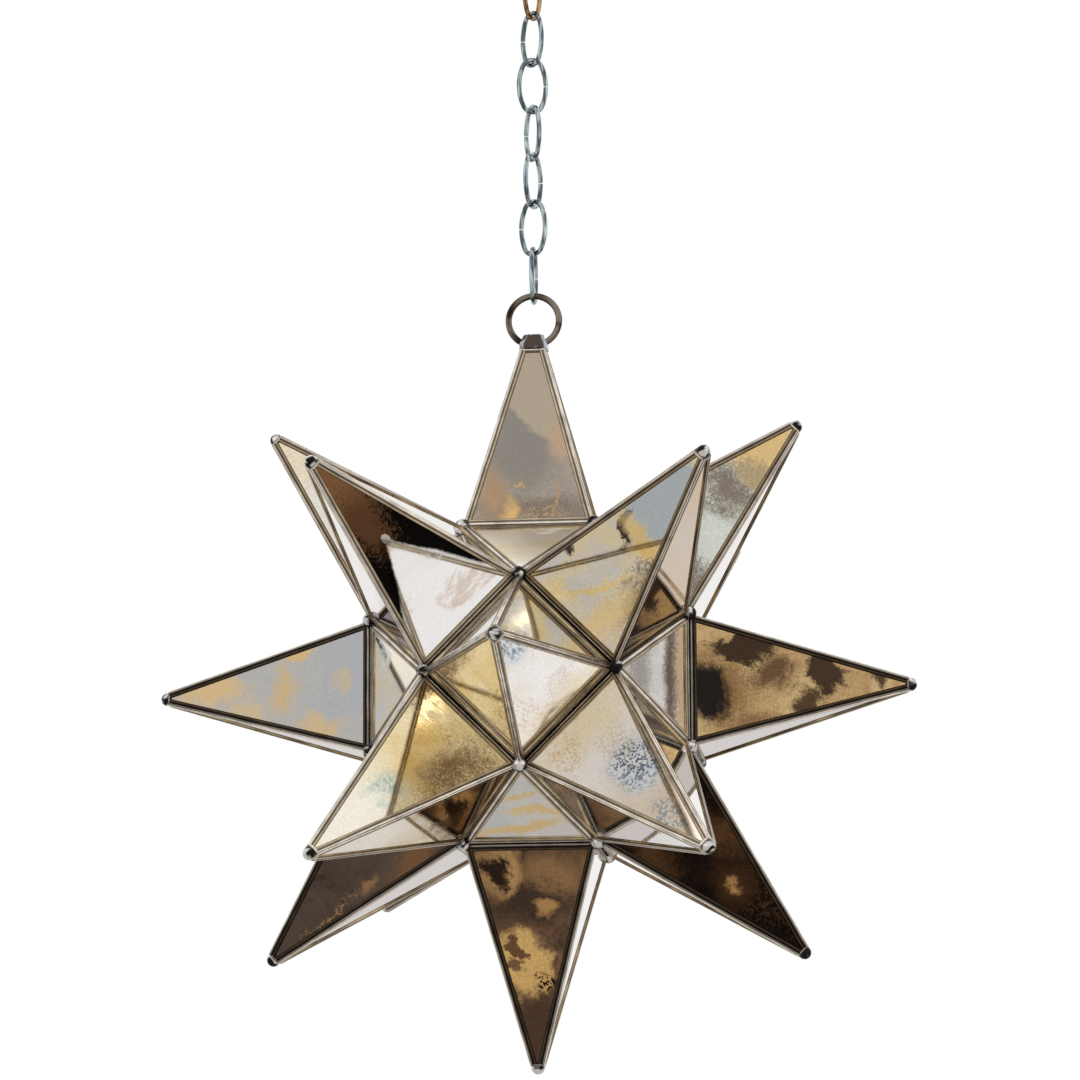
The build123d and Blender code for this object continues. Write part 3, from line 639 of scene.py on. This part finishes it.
# Painted shade partly standing for dirt, body, painted highlight and warm painted highlight of the cames, for
# each lit, plain or shaded copy.
CAMES = {
    CameTone.LIT_PEWTER: CameMetal("3d3329", "8f8376", "f2eadd", "cbb690"),
    CameTone.BRONZE: CameMetal("211a14", "675c50", "d2c8b9", "9b8360"),
    CameTone.SHADED_BRONZE: CameMetal("0e0b09", "2a241e", "9d958a", "4d4031"),
}

# The sloping panes that the photograph shows, by point and by the way they look.
PANES = {
    "top": {Side.FRONT: Look.SMOKE, Side.RIGHT: Look.ROSE_WHITE, Side.LEFT: Look.MIST},
    "bottom": {Side.FRONT: Look.DARK_AMBER, Side.RIGHT: Look.ROSE_WHITE, Side.LEFT: Look.MIST},
    "left": {Side.FRONT: Look.BLUE_GOLD, Side.LOWER: Look.ROSE_WHITE},
    "right": {Side.FRONT: Look.TORTOISE, Side.LOWER: Look.ROSE_WHITE},
    "upper_left": {Side.FRONT: Look.MIST, Side.LOWER_LEFT: Look.ROSE_WHITE},
    "upper_right": {Side.FRONT: Look.OLIVE_GOLD, Side.LOWER_RIGHT: Look.ROSE_WHITE},
    "lower_left": {Side.FRONT: Look.UMBER, Side.LOWER_RIGHT: Look.ROSE_WHITE},
    "lower_right": {Side.FRONT: Look.NIGHT_COPPER, Side.LOWER_LEFT: Look.ROSE_WHITE},
    "front_upper_left": {Side.FRONT: Look.NIGHT, Side.LOWER_LEFT: Look.ROSE_WHITE,
                         Side.UPPER_RIGHT: Look.MIST},
    "front_upper_right": {Side.FRONT: Look.GOLD_SLATE, Side.LOWER_RIGHT: Look.PEACH},
    "front_lower_left": {Side.FRONT: Look.HONEY, Side.LOWER_RIGHT: Look.RUSSET},
    "front_lower_right": {Side.FRONT: Look.PEARL, Side.LOWER_LEFT: Look.FROST,
                          Side.UPPER_RIGHT: Look.CHAMPAGNE},
    "front": {Side.UPPER_LEFT: Look.FROST, Side.UPPER_RIGHT: Look.CHAMPAGNE,
              Side.LOWER_LEFT: Look.STRAW, Side.LOWER_RIGHT: Look.MILK},
}

# The flat panes, by the way they look.
FLATS = {Side.UPPER: Look.GLOW, Side.LOWER: Look.GREY_VEIN, Side.LEFT: Look.CHAMPAGNE, Side.RIGHT: Look.GREY}

# What the other panes take in turn.
OTHER_PANES = (Look.GOLD_SLATE, Look.MILK, Look.OLIVE_GOLD, Look.SMOKE, Look.HONEY, Look.ROSE_WHITE,
               Look.TORTOISE, Look.BLUE_GOLD, Look.CHAMPAGNE)

# The points whose cames are painted lit or in shade instead of plain bronze.
TONES = {
    **dict.fromkeys(("front", "front_upper_left", "top", "front_lower_left", "front_lower_right"),
                    CameTone.LIT_PEWTER),
    # The front faces of the lower points are painted in shade; the front points' cames are painted lit.
    **dict.fromkeys(("bottom", "lower_left", "lower_right", "right", "left"), CameTone.SHADED_BRONZE),
}

# What drawn wire has in common: small patches drawn out along the wire into painted highlight and shade
# streaks.
WIRE = {"patch": 2.6 * MM, "mark": 1.5 * MM, "detail": 2.0, "edge": (0.36, 0.62), "stretch": (1.0, 1.0, 0.1)}

# Finish and nodes of everything whose CAD shape is kept.
DRESSED = (
    # Near-white and near-black patches on the beads: painted reflections.
    ("solder_tin", WornMetalWithPaintedReflections("cfccc8", "1f1c1a", 6 * MM, 1.5 * MM, 1.0, (0.40, 0.58), gloss=0.10, dull=0.18),
     ("core_beads", "tip_beads", "door_bead")),
    # Bright and dark streaks on the chain: painted highlights and shade, partly tarnish.
    ("nickel_plate", WornMetalWithPaintedReflections("b4bfc3", "48535a", **WIRE, gloss=0.12, dull=0.20),
     [f"chain_link_{i}" for i in range(2, 8)]),
    ("old_brass_wire", WornMetalWithPaintedReflections("b89a6a", "4f3c26", **WIRE, gloss=0.14, dull=0.26), ("chain_link_1",)),
    ("aged_brass", WornMetalWithPaintedReflections("bb9a63", "8c6d42", 30 * MM, 1.5 * MM, 5.0, (0.34, 0.70), gloss=0.20, dull=0.34),
     ("canopy", "collar_ring", "canopy_loop", "door_hinge_leaf", "frame_hinge_leaf", "hinge_pin")),
    # Light and dark patches on the ring and the cap: painted reflections, partly tarnish.
    ("darkened_ring", WornMetalWithPaintedReflections("7d7265", "29211b", 2.0 * MM, 1.5 * MM, 1.5, (0.34, 0.60), gloss=0.14,
                                dull=0.24, stretch=(0.12, 1.0, 0.12)), ("hanging_ring",)),
    ("polished_cap", WornMetalWithPaintedReflections("b3b9c3", "4c443d", 8 * MM, 1.5 * MM, 1.5, (0.42, 0.54), gloss=0.08,
                               dull=0.16, stretch=(1.0, 1.0, 0.25)), ("top_cap",)),
    ("satin_brass", WornMetalWithPaintedReflections("c2a160", "8d6f3c", 8 * MM, 0.7 * MM, gloss=0.20, dull=0.34),
     ("stem_plate", "stem", "stem_nut", "socket_contact", "screw_shell", "canopy_nipple", "nipple_nut")),
    ("zinc_steel", WornMetalWithPaintedReflections("b9bdb6", "8f9490", 4 * MM, 1.2 * MM, gloss=0.30, dull=0.46),
     ("mounting_bar", "earth_screw")),
    ("aluminium_cap", WornMetalWithPaintedReflections("c9cacb", "9b9c9e", 5 * MM, 0.7 * MM, gloss=0.22, dull=0.36), ("bulb_cap",)),
    ("glazed_porcelain", Glazed("ece8df", "e2dccf", 18 * MM, 0.22, coat=1.0), ("lamp_socket",)),
    ("opal_glass", Glazed("f3efe6", "e9e3d6", 25 * MM, 0.32, clear=0.25), ("bulb_glass",)),
    ("clear_plastic", Glazed("d9d6d0", "c4c0b8", 4 * MM, 0.18, clear=0.75), ("cord_bushing",)),
)


@dataclass(frozen=True)
class Face:
    """One sloping face of a point, or one flat triangle: where it lies and what glass it holds."""

    base: Base
    place: Matrix
    look: Look
    side: Side


@dataclass(frozen=True)
class StarForm:
    """The star's regular form: a core of twenty-four corners with a four-sided point on every square."""

    centre: Vector
    core_edge: float = 88 * MM
    tip_reach: float = 254 * MM
    blunt_width: float = 9.4 * MM
    tip_bead: float = 8.8 * MM
    tip_bead_dip: float = 0.6 * MM
    neck_width: float = 17.6 * MM
    tip_bar: float = 2.4 * MM
    neck_bar: float = 3.0 * MM
    least_end: float = 0.2 * MM

    @property
    def core_face(self) -> float:
        """Returns: the distance from the centre to a square of the core."""
        return (1 + sqrt(2)) * self.core_edge / 2

    @property
    def blunt_reach(self) -> float:
        """Returns: the distance from the centre to the cut-off end of a point."""
        return self.tip_reach - self.tip_bead / 2 - self.tip_bead_dip

    @property
    def lean(self) -> float:
        """Returns: the angle between a sloping face and its point's middle line."""
        return atan((self.core_edge - self.blunt_width) / 2 / (self.blunt_reach - self.core_face))

    @property
    def apex_reach(self) -> float:
        """Returns: the distance from the centre to where a point's ridges would meet."""
        return self.core_face + self.core_edge / 2 / tan(self.lean)

    @property
    def neck_reach(self) -> float:
        """Returns: the distance from the centre to the top point's neck."""
        return self.apex_reach - self.neck_width / 2 / tan(self.lean)

    @property
    def core(self) -> list[Vector]:
        """Returns: the core's corners, from the star's centre."""
        corners = []
        for signs in product((1, -1), repeat=3):
            for long_axis in range(3):
                place = [sign * self.core_edge / 2 for sign in signs]
                place[long_axis] *= 1 + sqrt(2)
                corners.append(EIGHTH_TURN @ Vector(place))
        return corners

    @property
    def points(self) -> dict[str, Vector]:
        """Returns: the way each of the eighteen points looks."""
        ways = {
            "front": (0, -1, 0), "rear": (0, 1, 0), "top": (0, 0, 1), "bottom": (0, 0, -1),
            "left": (-1, 0, 0), "right": (1, 0, 0), "upper_left": (-1, 0, 1), "upper_right": (1, 0, 1),
            "lower_left": (-1, 0, -1), "lower_right": (1, 0, -1)}
        for depth_name, depth in (("front", -sqrt(2)), ("rear", sqrt(2))):
            for height_name, height in (("upper", 1), ("lower", -1)):
                for side_name, side in (("left", -1), ("right", 1)):
                    ways[f"{depth_name}_{height_name}_{side_name}"] = (side, depth, height)
        return {name: Vector(way).normalized() for name, way in ways.items()}

    @property
    def triangles(self) -> list[Vector]:
        """Returns: the way each of the eight flat triangles looks."""
        return [(EIGHTH_TURN @ Vector(signs)).normalized() for signs in product((1, -1), repeat=3)]

    def corners_of(self, way: Vector, count: int) -> list[Vector]:
        """Find the core corners around a face.

        Args:
            way: the way the face looks.
            count: how many corners it has.

        Returns:
            The corners in order, anticlockwise seen from outside.
        """
        around = sorted(self.core, key=lambda corner: -corner.dot(way))[:count]
        across = (around[0] - way * around[0].dot(way)).normalized()
        upward = way.cross(across)
        return sorted(around, key=lambda corner: atan2(corner.dot(upward), corner.dot(across)))

    def placed(self, origin: Vector, along: Vector, outward: Vector) -> Matrix:
        """Make a face's place.

        Args:
            origin: the face's origin, from the star's centre.
            along: the face's own X direction.
            outward: the face's own Z direction.

        Returns:
            The matrix from the face's plane to the object's frame.
        """
        x, z = along.normalized(), outward.normalized()
        y = z.cross(x)
        turned = Matrix((x, y, z)).transposed().to_4x4()
        return Matrix.Translation(self.centre + origin) @ turned

    def faces(self, name: str) -> list[Face]:
        """Lay out the four sloping faces of a point.

        Args:
            name: the point's name.

        Returns:
            The four faces.
        """
        way = self.points[name]
        corners = self.corners_of(way, 4)
        found = []
        for i, start in enumerate(corners):
            end = corners[(i + 1) % 4]
            middle = (start + end) / 2
            side = Side.of((middle - way * middle.dot(way)).normalized())
            squares = sum(middle.dot(other) > self.core_face - LOOSE for other in self.points.values())
            spare = OTHER_PANES[(len(name) + 2 * i) % len(OTHER_PANES)]
            look = PANES.get(name, {}).get(side, spare)
            outward = (end - start).cross(way * self.apex_reach - middle)
            base = Base.VALLEY if squares == 2 else Base.FLAT
            found.append(Face(base, self.placed(middle, end - start, outward), look, side))
        return found

    def flats(self) -> list[Face]:
        """Lay out the flat triangles.

        Returns:
            The eight faces.
        """
        found = []
        for way in self.triangles:
            corners = self.corners_of(way, 3)
            place = self.placed((corners[0] + corners[1] + corners[2]) / 3, corners[1] - corners[0], way)
            side = Side.of(Vector((way.x, 0.0, way.z)).normalized())
            found.append(Face(Base.FLAT, place, FLATS[side], side))
        return found

    def face_top(self, reach: float) -> float:
        """Returns: how far up its own plane a sloping face goes, for its point's reach."""
        return (reach - self.core_face) / cos(self.lean)

    def face_outline(self, base: float, ridge: float, top: float) -> Outline:
        """Draw a sloping face in its own plane.

        Args:
            base: how far it is set in from its base edge.
            ridge: how far it is set in from its ridges.
            top: the height at which it is cut off.

        Returns:
            Its four corners, anticlockwise from the lower left.
        """
        half = atan(sin(self.lean))
        apex = self.core_edge / 2 / sin(self.lean) - ridge / sin(half)
        low, high = (apex - base) * tan(half), max(apex - top, self.least_end) * tan(half)
        return [(-low, base), (low, base), (high, top), (-high, top)]

    def triangle_outline(self, inset: float) -> Outline:
        """Returns: a flat triangle's corners in its own plane, set in from the core's edges."""
        inradius = self.core_edge / (2 * sqrt(3)) - inset
        return [(-inradius * sqrt(3), -inradius), (inradius * sqrt(3), -inradius), (0.0, 2 * inradius)]


def pick_edges(piece: Object, test: Callable) -> None:
    """Select edges of the piece in edit mode.

    Args:
        piece: the piece, already in edit mode.
        test: says whether an edge is selected.
    """
    bpy.ops.mesh.select_mode(type="EDGE")
    bpy.ops.mesh.select_all(action="DESELECT")
    for edge in bmesh.from_edit_mesh(piece.data).edges:
        edge.select_set(test(edge))
    bmesh.update_edit_mesh(piece.data)


def plate(name: str, outline: Outline) -> Object:
    """Add a flat plate of a given outline, and leave it in edit mode.

    Args:
        name: the plate's name.
        outline: its corners in the XY plane, anticlockwise.

    Returns:
        The plate.
    """
    bpy.ops.object.select_all(action="DESELECT")
    bpy.ops.mesh.primitive_circle_add(vertices=len(outline), fill_type="NGON", calc_uvs=False)
    piece = bpy.context.object
    piece.name = name
    for vertex, (x, y) in zip(piece.data.vertices, outline):
        vertex.co = (x, y, 0.0)
    bpy.ops.object.mode_set(mode="EDIT")
    bpy.ops.mesh.select_all(action="SELECT")
    bpy.ops.mesh.normals_make_consistent(inside=False)
    return piece


def nearest(place: Vector, outline: Outline) -> int:
    """Returns: the number of the outline's corner that lies nearest to a place in its plane."""
    return min(range(len(outline)), key=lambda i: (Vector(outline[i]) - place.xy).length)


def at_corner(place: Vector, outline: Outline, reach: float) -> bool:
    """Returns: whether a place lies within reach of one of the outline's corners."""
    return (place.xy - Vector(outline[nearest(place, outline)])).length < reach


def finish_edit(piece: Object, smooth: float) -> None:
    """Leave edit mode with clean outward normals and soft shading below an angle.

    Args:
        piece: the piece in edit mode.
        smooth: the angle in degrees up to which edges shade softly.
    """
    bpy.ops.mesh.select_all(action="SELECT")
    bpy.ops.mesh.remove_doubles(threshold=WELD)
    bpy.ops.mesh.normals_make_consistent(inside=False)
    bpy.ops.object.mode_set(mode="OBJECT")
    bpy.ops.object.shade_smooth_by_angle(angle=radians(smooth))


def copy_to(template: Object, place: Matrix, material: Material) -> Object:
    """Copy a template with a mesh of its own.

    Args:
        template: the modelled shape, at the origin.
        place: where the copy goes.
        material: the copy's material.

    Returns:
        The copy, at the origin with its place in its mesh.
    """
    copy = template.copy()
    copy.data = template.data.copy()
    copy.data.transform(place)
    copy.data.materials.clear()
    copy.data.materials.append(material)
    bpy.context.collection.objects.link(copy)
    return copy


def settle(name: str, copies: Sequence[Object], body: str, nodes: Sequence[str]) -> None:
    """Join copies into one piece and tie it to the frame.

    Args:
        name: the piece's name.
        copies: the copies, each with its own mesh.
        body: the body that it moves with.
        nodes: the CAD nodes that it replaces.
    """
    bpy.ops.object.select_all(action="DESELECT")
    for copy in copies:
        copy.select_set(True)
    bpy.context.view_layer.objects.active = copies[0]
    bpy.ops.object.join()
    piece = bpy.context.object
    piece.name = name
    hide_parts(*nodes)
    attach(piece, body)
    log.info("%s on %s: %d faces", piece.name, body, len(piece.data.polygons))


@dataclass(frozen=True)
class Cames:
    """The metal edging round every pane: mitred frames with rounded fronts."""

    form: StarForm
    face: float = 4.8 * MM
    depth: float = 4.0 * MM
    outer_round: float = 1.5 * MM
    inner_round: float = 0.9 * MM
    round_steps: int = 4
    first_inset: float = 0.5 * MM
    seam: float = 0.1 * MM
    door_gap: float = 0.3 * MM
    bead_room: float = 5.6 * MM
    bead_way: tuple[float, float] = (0.79, -0.61)
    soft_angle: float = 50.0

    @property
    def ridge_mitre(self) -> float:
        """Returns: half the angle between two neighbouring faces of a point."""
        return radians(90) - acos(sin(self.form.lean) ** 2) / 2

    def base_mitre(self, base: Base) -> float:
        """Find the mitre of a frame's base.

        Args:
            base: what the face meets along its base edge.

        Returns:
            Half the angle between the two faces there.
        """
        # Two squares of the core meet at 135 degrees, a square and a triangle at acos(-sqrt(2 / 3)).
        if base is Base.VALLEY:
            return radians(22.5) + self.form.lean
        return (radians(270) - acos(-sqrt(2 / 3)) + self.form.lean) / 2

    def frame(self, front: Outline, back: Outline, window: Outline) -> Object:
        """Model one frame in its own plane.

        Args:
            front: the outer outline on the face.
            back: the outer outline at the back.
            window: the opening.

        Returns:
            The frame, with its bands unwrapped in metres from its outer edge.
        """
        piece = plate("came", front)
        bpy.ops.mesh.inset(thickness=self.first_inset)
        bpy.ops.mesh.delete(type="FACE")
        mesh = bmesh.from_edit_mesh(piece.data)
        for vertex in [v for v in mesh.verts if not at_corner(v.co, front, LOOSE)]:
            vertex.co.xy = window[nearest(vertex.co, front)]
        bmesh.update_edit_mesh(piece.data)
        bpy.ops.mesh.select_all(action="SELECT")
        bpy.ops.mesh.extrude_region_move(TRANSFORM_OT_translate={"value": (0.0, 0.0, -self.depth)})
        mesh = bmesh.from_edit_mesh(piece.data)
        for vertex in mesh.verts:
            if vertex.co.z < -self.depth / 2 and at_corner(vertex.co, front, LOOSE):
                vertex.co.xy = back[nearest(vertex.co, front)]
        bmesh.update_edit_mesh(piece.data)
        for outline, size in ((front, self.outer_round), (window, self.inner_round)):
            pick_edges(piece, lambda edge: all(
                v.co.z > -CLOSE and at_corner(v.co, outline, CLOSE) for v in edge.verts))
            bpy.ops.mesh.bevel(offset=size, segments=self.round_steps, affect="EDGES", clamp_overlap=True)
        finish_edit(piece, self.soft_angle)
        self.unwrap(piece, front)
        return piece

    def unwrap(self, piece: Object, front: Outline) -> None:
        """Give a frame's faces their distance from the outer edge and their place along it.

        Args:
            piece: the frame.
            front: its outer outline.
        """
        corners = [Vector(corner) for corner in front]
        layer = piece.data.uv_layers.new(name="band")
        for polygon in piece.data.polygons:
            best = None
            for i, start in enumerate(corners):
                along = (corners[(i + 1) % len(corners)] - start).normalized()
                inward = Vector((-along.y, along.x))
                depth = (polygon.center.xy - start).dot(inward)
                if best is None or depth < best[0]:
                    best = (depth, start, along, inward)
            _, start, along, inward = best
            for loop in polygon.loop_indices:
                offset = piece.data.vertices[piece.data.loops[loop].vertex_index].co.xy - start
                layer.data[loop].uv = (offset.dot(inward), offset.dot(along))

    def point_frame(self, base: Base, reach: float, bar: float, gap: float) -> Object:
        """Model the frame of one sloping face.

        Args:
            base: what the face meets along its base edge.
            reach: how far the point reaches from the star's centre.
            bar: the width of the bar across the cut-off end.
            gap: the gap along the base edge.

        Returns:
            The frame.
        """
        form, mitre, top = self.form, self.base_mitre(base), self.form.face_top(reach)
        base_seam, ridge_seam = gap / sin(mitre), self.seam / sin(self.ridge_mitre)
        back = form.face_outline(base_seam - self.depth / tan(mitre),
                                 ridge_seam + self.depth / tan(self.ridge_mitre),
                                 top + self.depth * tan(form.lean))
        return self.frame(form.face_outline(base_seam, ridge_seam, top), back,
                          form.face_outline(self.face, self.face, top - bar))

    def clear_beads(self, piece: Object) -> None:
        """Cut the two base corners of the door's frame back from the beads.

        Args:
            piece: the frame.
        """
        bpy.ops.object.select_all(action="DESELECT")
        piece.select_set(True)
        bpy.context.view_layer.objects.active = piece
        for hand in (1, -1):
            bpy.ops.object.mode_set(mode="EDIT")
            bpy.ops.mesh.select_all(action="SELECT")
            outward = Vector((hand * self.bead_way[0], self.bead_way[1], 0.0)).normalized()
            corner = Vector((hand * self.form.core_edge / 2, 0.0, 0.0))
            bpy.ops.mesh.bisect(plane_co=corner - outward * self.bead_room, plane_no=outward,
                                use_fill=True, clear_outer=True)
            bpy.ops.object.mode_set(mode="OBJECT")

    @staticmethod
    def tone(name: str, face: Face) -> CameTone:
        """Returns: how lit or shaded the frame of a point's face is painted. The shaded ones look to the
        front only.
        """
        tone = TONES.get(name, CameTone.BRONZE)
        return CameTone.LIT_PEWTER if tone is CameTone.SHADED_BRONZE and face.side is not Side.FRONT else tone

    def build(self) -> None:
        """Model every frame and stand it for its CAD node."""
        form = self.form
        metals = {tone: finish.material(f"came_{tone.value}") for tone, finish in CAMES.items()}
        shapes = {base: self.point_frame(base, form.blunt_reach, form.tip_bar, self.seam) for base in Base}
        neck = {base: self.point_frame(base, form.neck_reach, form.neck_bar, self.seam) for base in Base}
        for name in form.points:
            if name == "rear":
                continue
            used = neck if name == "top" else shapes
            copies = [copy_to(used[f.base], f.place, metals[self.tone(name, f)]) for f in form.faces(name)]
            settle(f"edging_{name}", copies, "star", [f"cames_{name}"])
        door = self.point_frame(Base.VALLEY, form.blunt_reach, form.tip_bar, self.door_gap)
        self.clear_beads(door)
        copies = [copy_to(door, f.place, metals[CameTone.BRONZE]) for f in form.faces("rear")]
        settle("edging_rear", copies, "rear_door", ["door_cames"])
        mitre = self.base_mitre(Base.FLAT)
        gap = self.seam / sin(mitre)
        flat = self.frame(form.triangle_outline(gap), form.triangle_outline(gap - self.depth / tan(mitre)),
                          form.triangle_outline(self.face))
        copies = [copy_to(flat, f.place, metals[CameTone.LIT_PEWTER]) for f in form.flats()]
        settle("edging_flats", copies, "star", ["flat_cames"])
        for template in (*shapes.values(), *neck.values(), door, flat):
            bpy.data.objects.remove(template)


@dataclass(frozen=True)
class MirrorPanes:
    """The panes of antique mirror, each with its own ageing and backing paint."""

    form: StarForm
    thickness: float = 2.0 * MM
    depth: float = 1.2 * MM
    inset: float = 4.1 * MM
    bite: float = 0.7 * MM
    arris: float = 0.25 * MM
    soft_angle: float = 20.0
    rearward: float = -0.5

    def pane(self, outline: Outline) -> Object:
        """Model one pane in its own plane.

        Args:
            outline: its corners.

        Returns:
            The pane, set back behind the face of its came.
        """
        piece = plate("pane", outline)
        bpy.ops.transform.translate(value=(0.0, 0.0, -self.depth))
        bpy.ops.mesh.extrude_region_move(TRANSFORM_OT_translate={"value": (0.0, 0.0, -self.thickness)})
        bpy.ops.mesh.select_all(action="SELECT")
        bpy.ops.mesh.bevel(offset=self.arris, segments=1, affect="EDGES", clamp_overlap=True)
        finish_edit(piece, self.soft_angle)
        layer = piece.data.uv_layers.new(name="pane")
        for loop in piece.data.loops:
            layer.data[loop.index].uv = piece.data.vertices[loop.vertex_index].co.xy
        return piece

    def point_pane(self, reach: float, bar: float) -> Object:
        """Returns: the pane of a sloping face, for a point's reach and the bar across its cut-off end."""
        top = self.form.face_top(reach) - bar + self.bite
        return self.pane(self.form.face_outline(self.inset, self.inset, top))

    def fill(self, template: Object, face: Face, mirrors: dict[Look, Material], paint: Material) -> Object:
        """Copy a pane into its face and paint its inner side.

        Args:
            template: the modelled pane, at the origin.
            face: the face that it fills.
            mirrors: the mirror of each look.
            paint: the backing paint.

        Returns:
            The pane.
        """
        piece = copy_to(template, face.place, mirrors[face.look])
        piece.data.materials.append(paint)
        outward = face.place.to_3x3() @ Vector((0.0, 0.0, 1.0))
        for polygon in piece.data.polygons:
            polygon.material_index = int(polygon.normal.dot(outward) < self.rearward)
        return piece

    def build(self) -> None:
        """Model every pane and stand it for its CAD node."""
        form = self.form
        mirrors = {
            look: finish.material(f"antique_mirror_{look.name.lower()}") for look, finish in MIRRORS.items()}
        paint = Glazed("b8b0a4", "a69d91", 20 * MM, 0.5).material("backing_paint")
        shape = self.point_pane(form.blunt_reach, form.tip_bar)
        neck = self.point_pane(form.neck_reach, form.neck_bar)
        tiers = {
            "front": ["front"],
            "front_ring": [name for name in form.points if name.startswith("front_")],
            "belt": [name for name, way in form.points.items() if abs(way.y) < LEVEL],
            "rear_ring": [name for name in form.points if name.startswith("rear_")],
        }
        for tier, names in tiers.items():
            copies = [self.fill(neck if name == "top" else shape, face, mirrors, paint)
                      for name in names for face in form.faces(name)]
            settle(f"mirror_{tier}", copies, "star", [f"panes_{tier}"])
        copies = [self.fill(shape, face, mirrors, paint) for face in form.faces("rear")]
        settle("mirror_rear", copies, "rear_door", ["door_panes"])
        flat = self.pane(form.triangle_outline(self.inset))
        copies = [self.fill(flat, face, mirrors, paint) for face in form.flats()]
        settle("mirror_flats", copies, "star", ["flat_panes"])
        for template in (shape, neck, flat):
            bpy.data.objects.remove(template)


@dataclass(frozen=True)
class CarriedOver:
    """The CAD nodes whose shape is right, each dressed in its real material."""

    def dress(self) -> None:
        """Give each node its finish."""
        for name, finish, nodes in DRESSED:
            material = finish.material(name)
            for node in nodes:
                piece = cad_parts[node]
                piece.data.materials.clear()
                piece.data.materials.append(material)
                log.info("%s dressed in %s", node, name)


@dataclass(frozen=True)
class Studio:
    """Pale floor, white surroundings, soft lamps and the camera."""

    star: Vector
    floor_drop: float = 0.62
    floor_size: float = 80.0
    eye: tuple[float, float, float] = (0.2772, -2.7270, -0.4014)
    yaw: float = -5.735
    pitch: float = 10.436
    roll: float = -0.341
    focal: float = 137.97
    sensor: float = 36.0

    def floor(self) -> None:
        """Lay the floor."""
        bpy.ops.object.select_all(action="DESELECT")
        below = self.star - Vector((0, 0, self.floor_drop))
        bpy.ops.mesh.primitive_plane_add(size=self.floor_size, location=below)
        piece = bpy.context.object
        piece.name = "floor"
        piece.data.materials.append(Matte("eceae7", 0.9).material("pale_floor"))

    def world(self) -> None:
        """Make the surroundings white to the camera, to metal and to glass, and soft on the rest."""
        world = bpy.data.worlds.new("studio")
        bpy.context.scene.world = world
        world.use_nodes = True
        tree = world.node_tree
        add = partial(add_node, tree)
        rays = add("LightPath", {}).node.outputs
        seen = rays["Is Camera Ray"]
        for other in ("Is Glossy Ray", "Is Transmission Ray"):
            seen = add("Math", {0: seen, 1: rays[other]}, operation="MAXIMUM")
        level = add("MapRange", {"Value": seen, "To Min": 0.85, "To Max": 1.0})
        feed(tree, tree.nodes["Background"], {"Color": (1.0, 1.0, 1.0, 1.0), "Strength": level})

    def lamp(self, name: str, place: tuple[float, float, float], size: tuple[float, float],
             power: float) -> None:
        """Hang a soft lamp that looks at the star.

        Args:
            name: the lamp's name.
            place: where it hangs, from the star's centre.
            size: its width and height.
            power: its power in watts.
        """
        bpy.ops.object.light_add(type="AREA", location=self.star + Vector(place))
        lamp = bpy.context.object
        lamp.name = name
        lamp.rotation_euler = (-Vector(place)).to_track_quat("-Z", "Y").to_euler()
        lamp.data.shape = "RECTANGLE"
        lamp.data.size, lamp.data.size_y = size
        lamp.data.energy = power
        lamp.visible_camera = False

    def camera(self) -> None:
        """Stand the camera where the photograph was taken from."""
        yaw, pitch, roll = radians(self.yaw), radians(self.pitch), radians(self.roll)
        ahead = Vector((sin(yaw) * cos(pitch), cos(yaw) * cos(pitch), sin(pitch)))
        level = Vector((cos(yaw), -sin(yaw), 0.0))
        above = level.cross(ahead)
        right = level * cos(roll) + above * sin(roll)
        up = above * cos(roll) - level * sin(roll)
        bpy.ops.object.camera_add()
        camera = bpy.context.object
        turned = Matrix((right, up, -ahead)).transposed().to_4x4()
        camera.matrix_world = Matrix.Translation(self.star + Vector(self.eye)) @ turned
        camera.data.lens = self.focal
        camera.data.sensor_width = self.sensor
        camera.data.sensor_fit = "HORIZONTAL"
        bpy.context.scene.camera = camera

    def build(self) -> None:
        """Set up the whole studio."""
        self.floor()
        self.world()
        self.lamp("key", (-1.7, -2.1, 1.3), (2.2, 2.2), 4.0)
        self.lamp("fill", (2.2, -1.5, 0.6), (1.2, 1.4), 1.8)
        self.lamp("top", (0.4, 0.6, 2.0), (2.0, 1.6), 3.5)
        self.lamp("glint", (-1.07, -2.0, -0.45), (0.009, 0.009), 0.008)
        self.camera()
        bpy.context.scene.view_settings.view_transform = "Standard"


def main() -> None:
    """Build the looks and the studio."""
    low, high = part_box("core_beads")
    star = (low + high) / 2
    form = StarForm(star)
    Studio(star).build()
    Cames(form).build()
    MirrorPanes(form).build()
    CarriedOver().dress()
    log.info("sizes written")


if __name__ == "__main__":
    main()
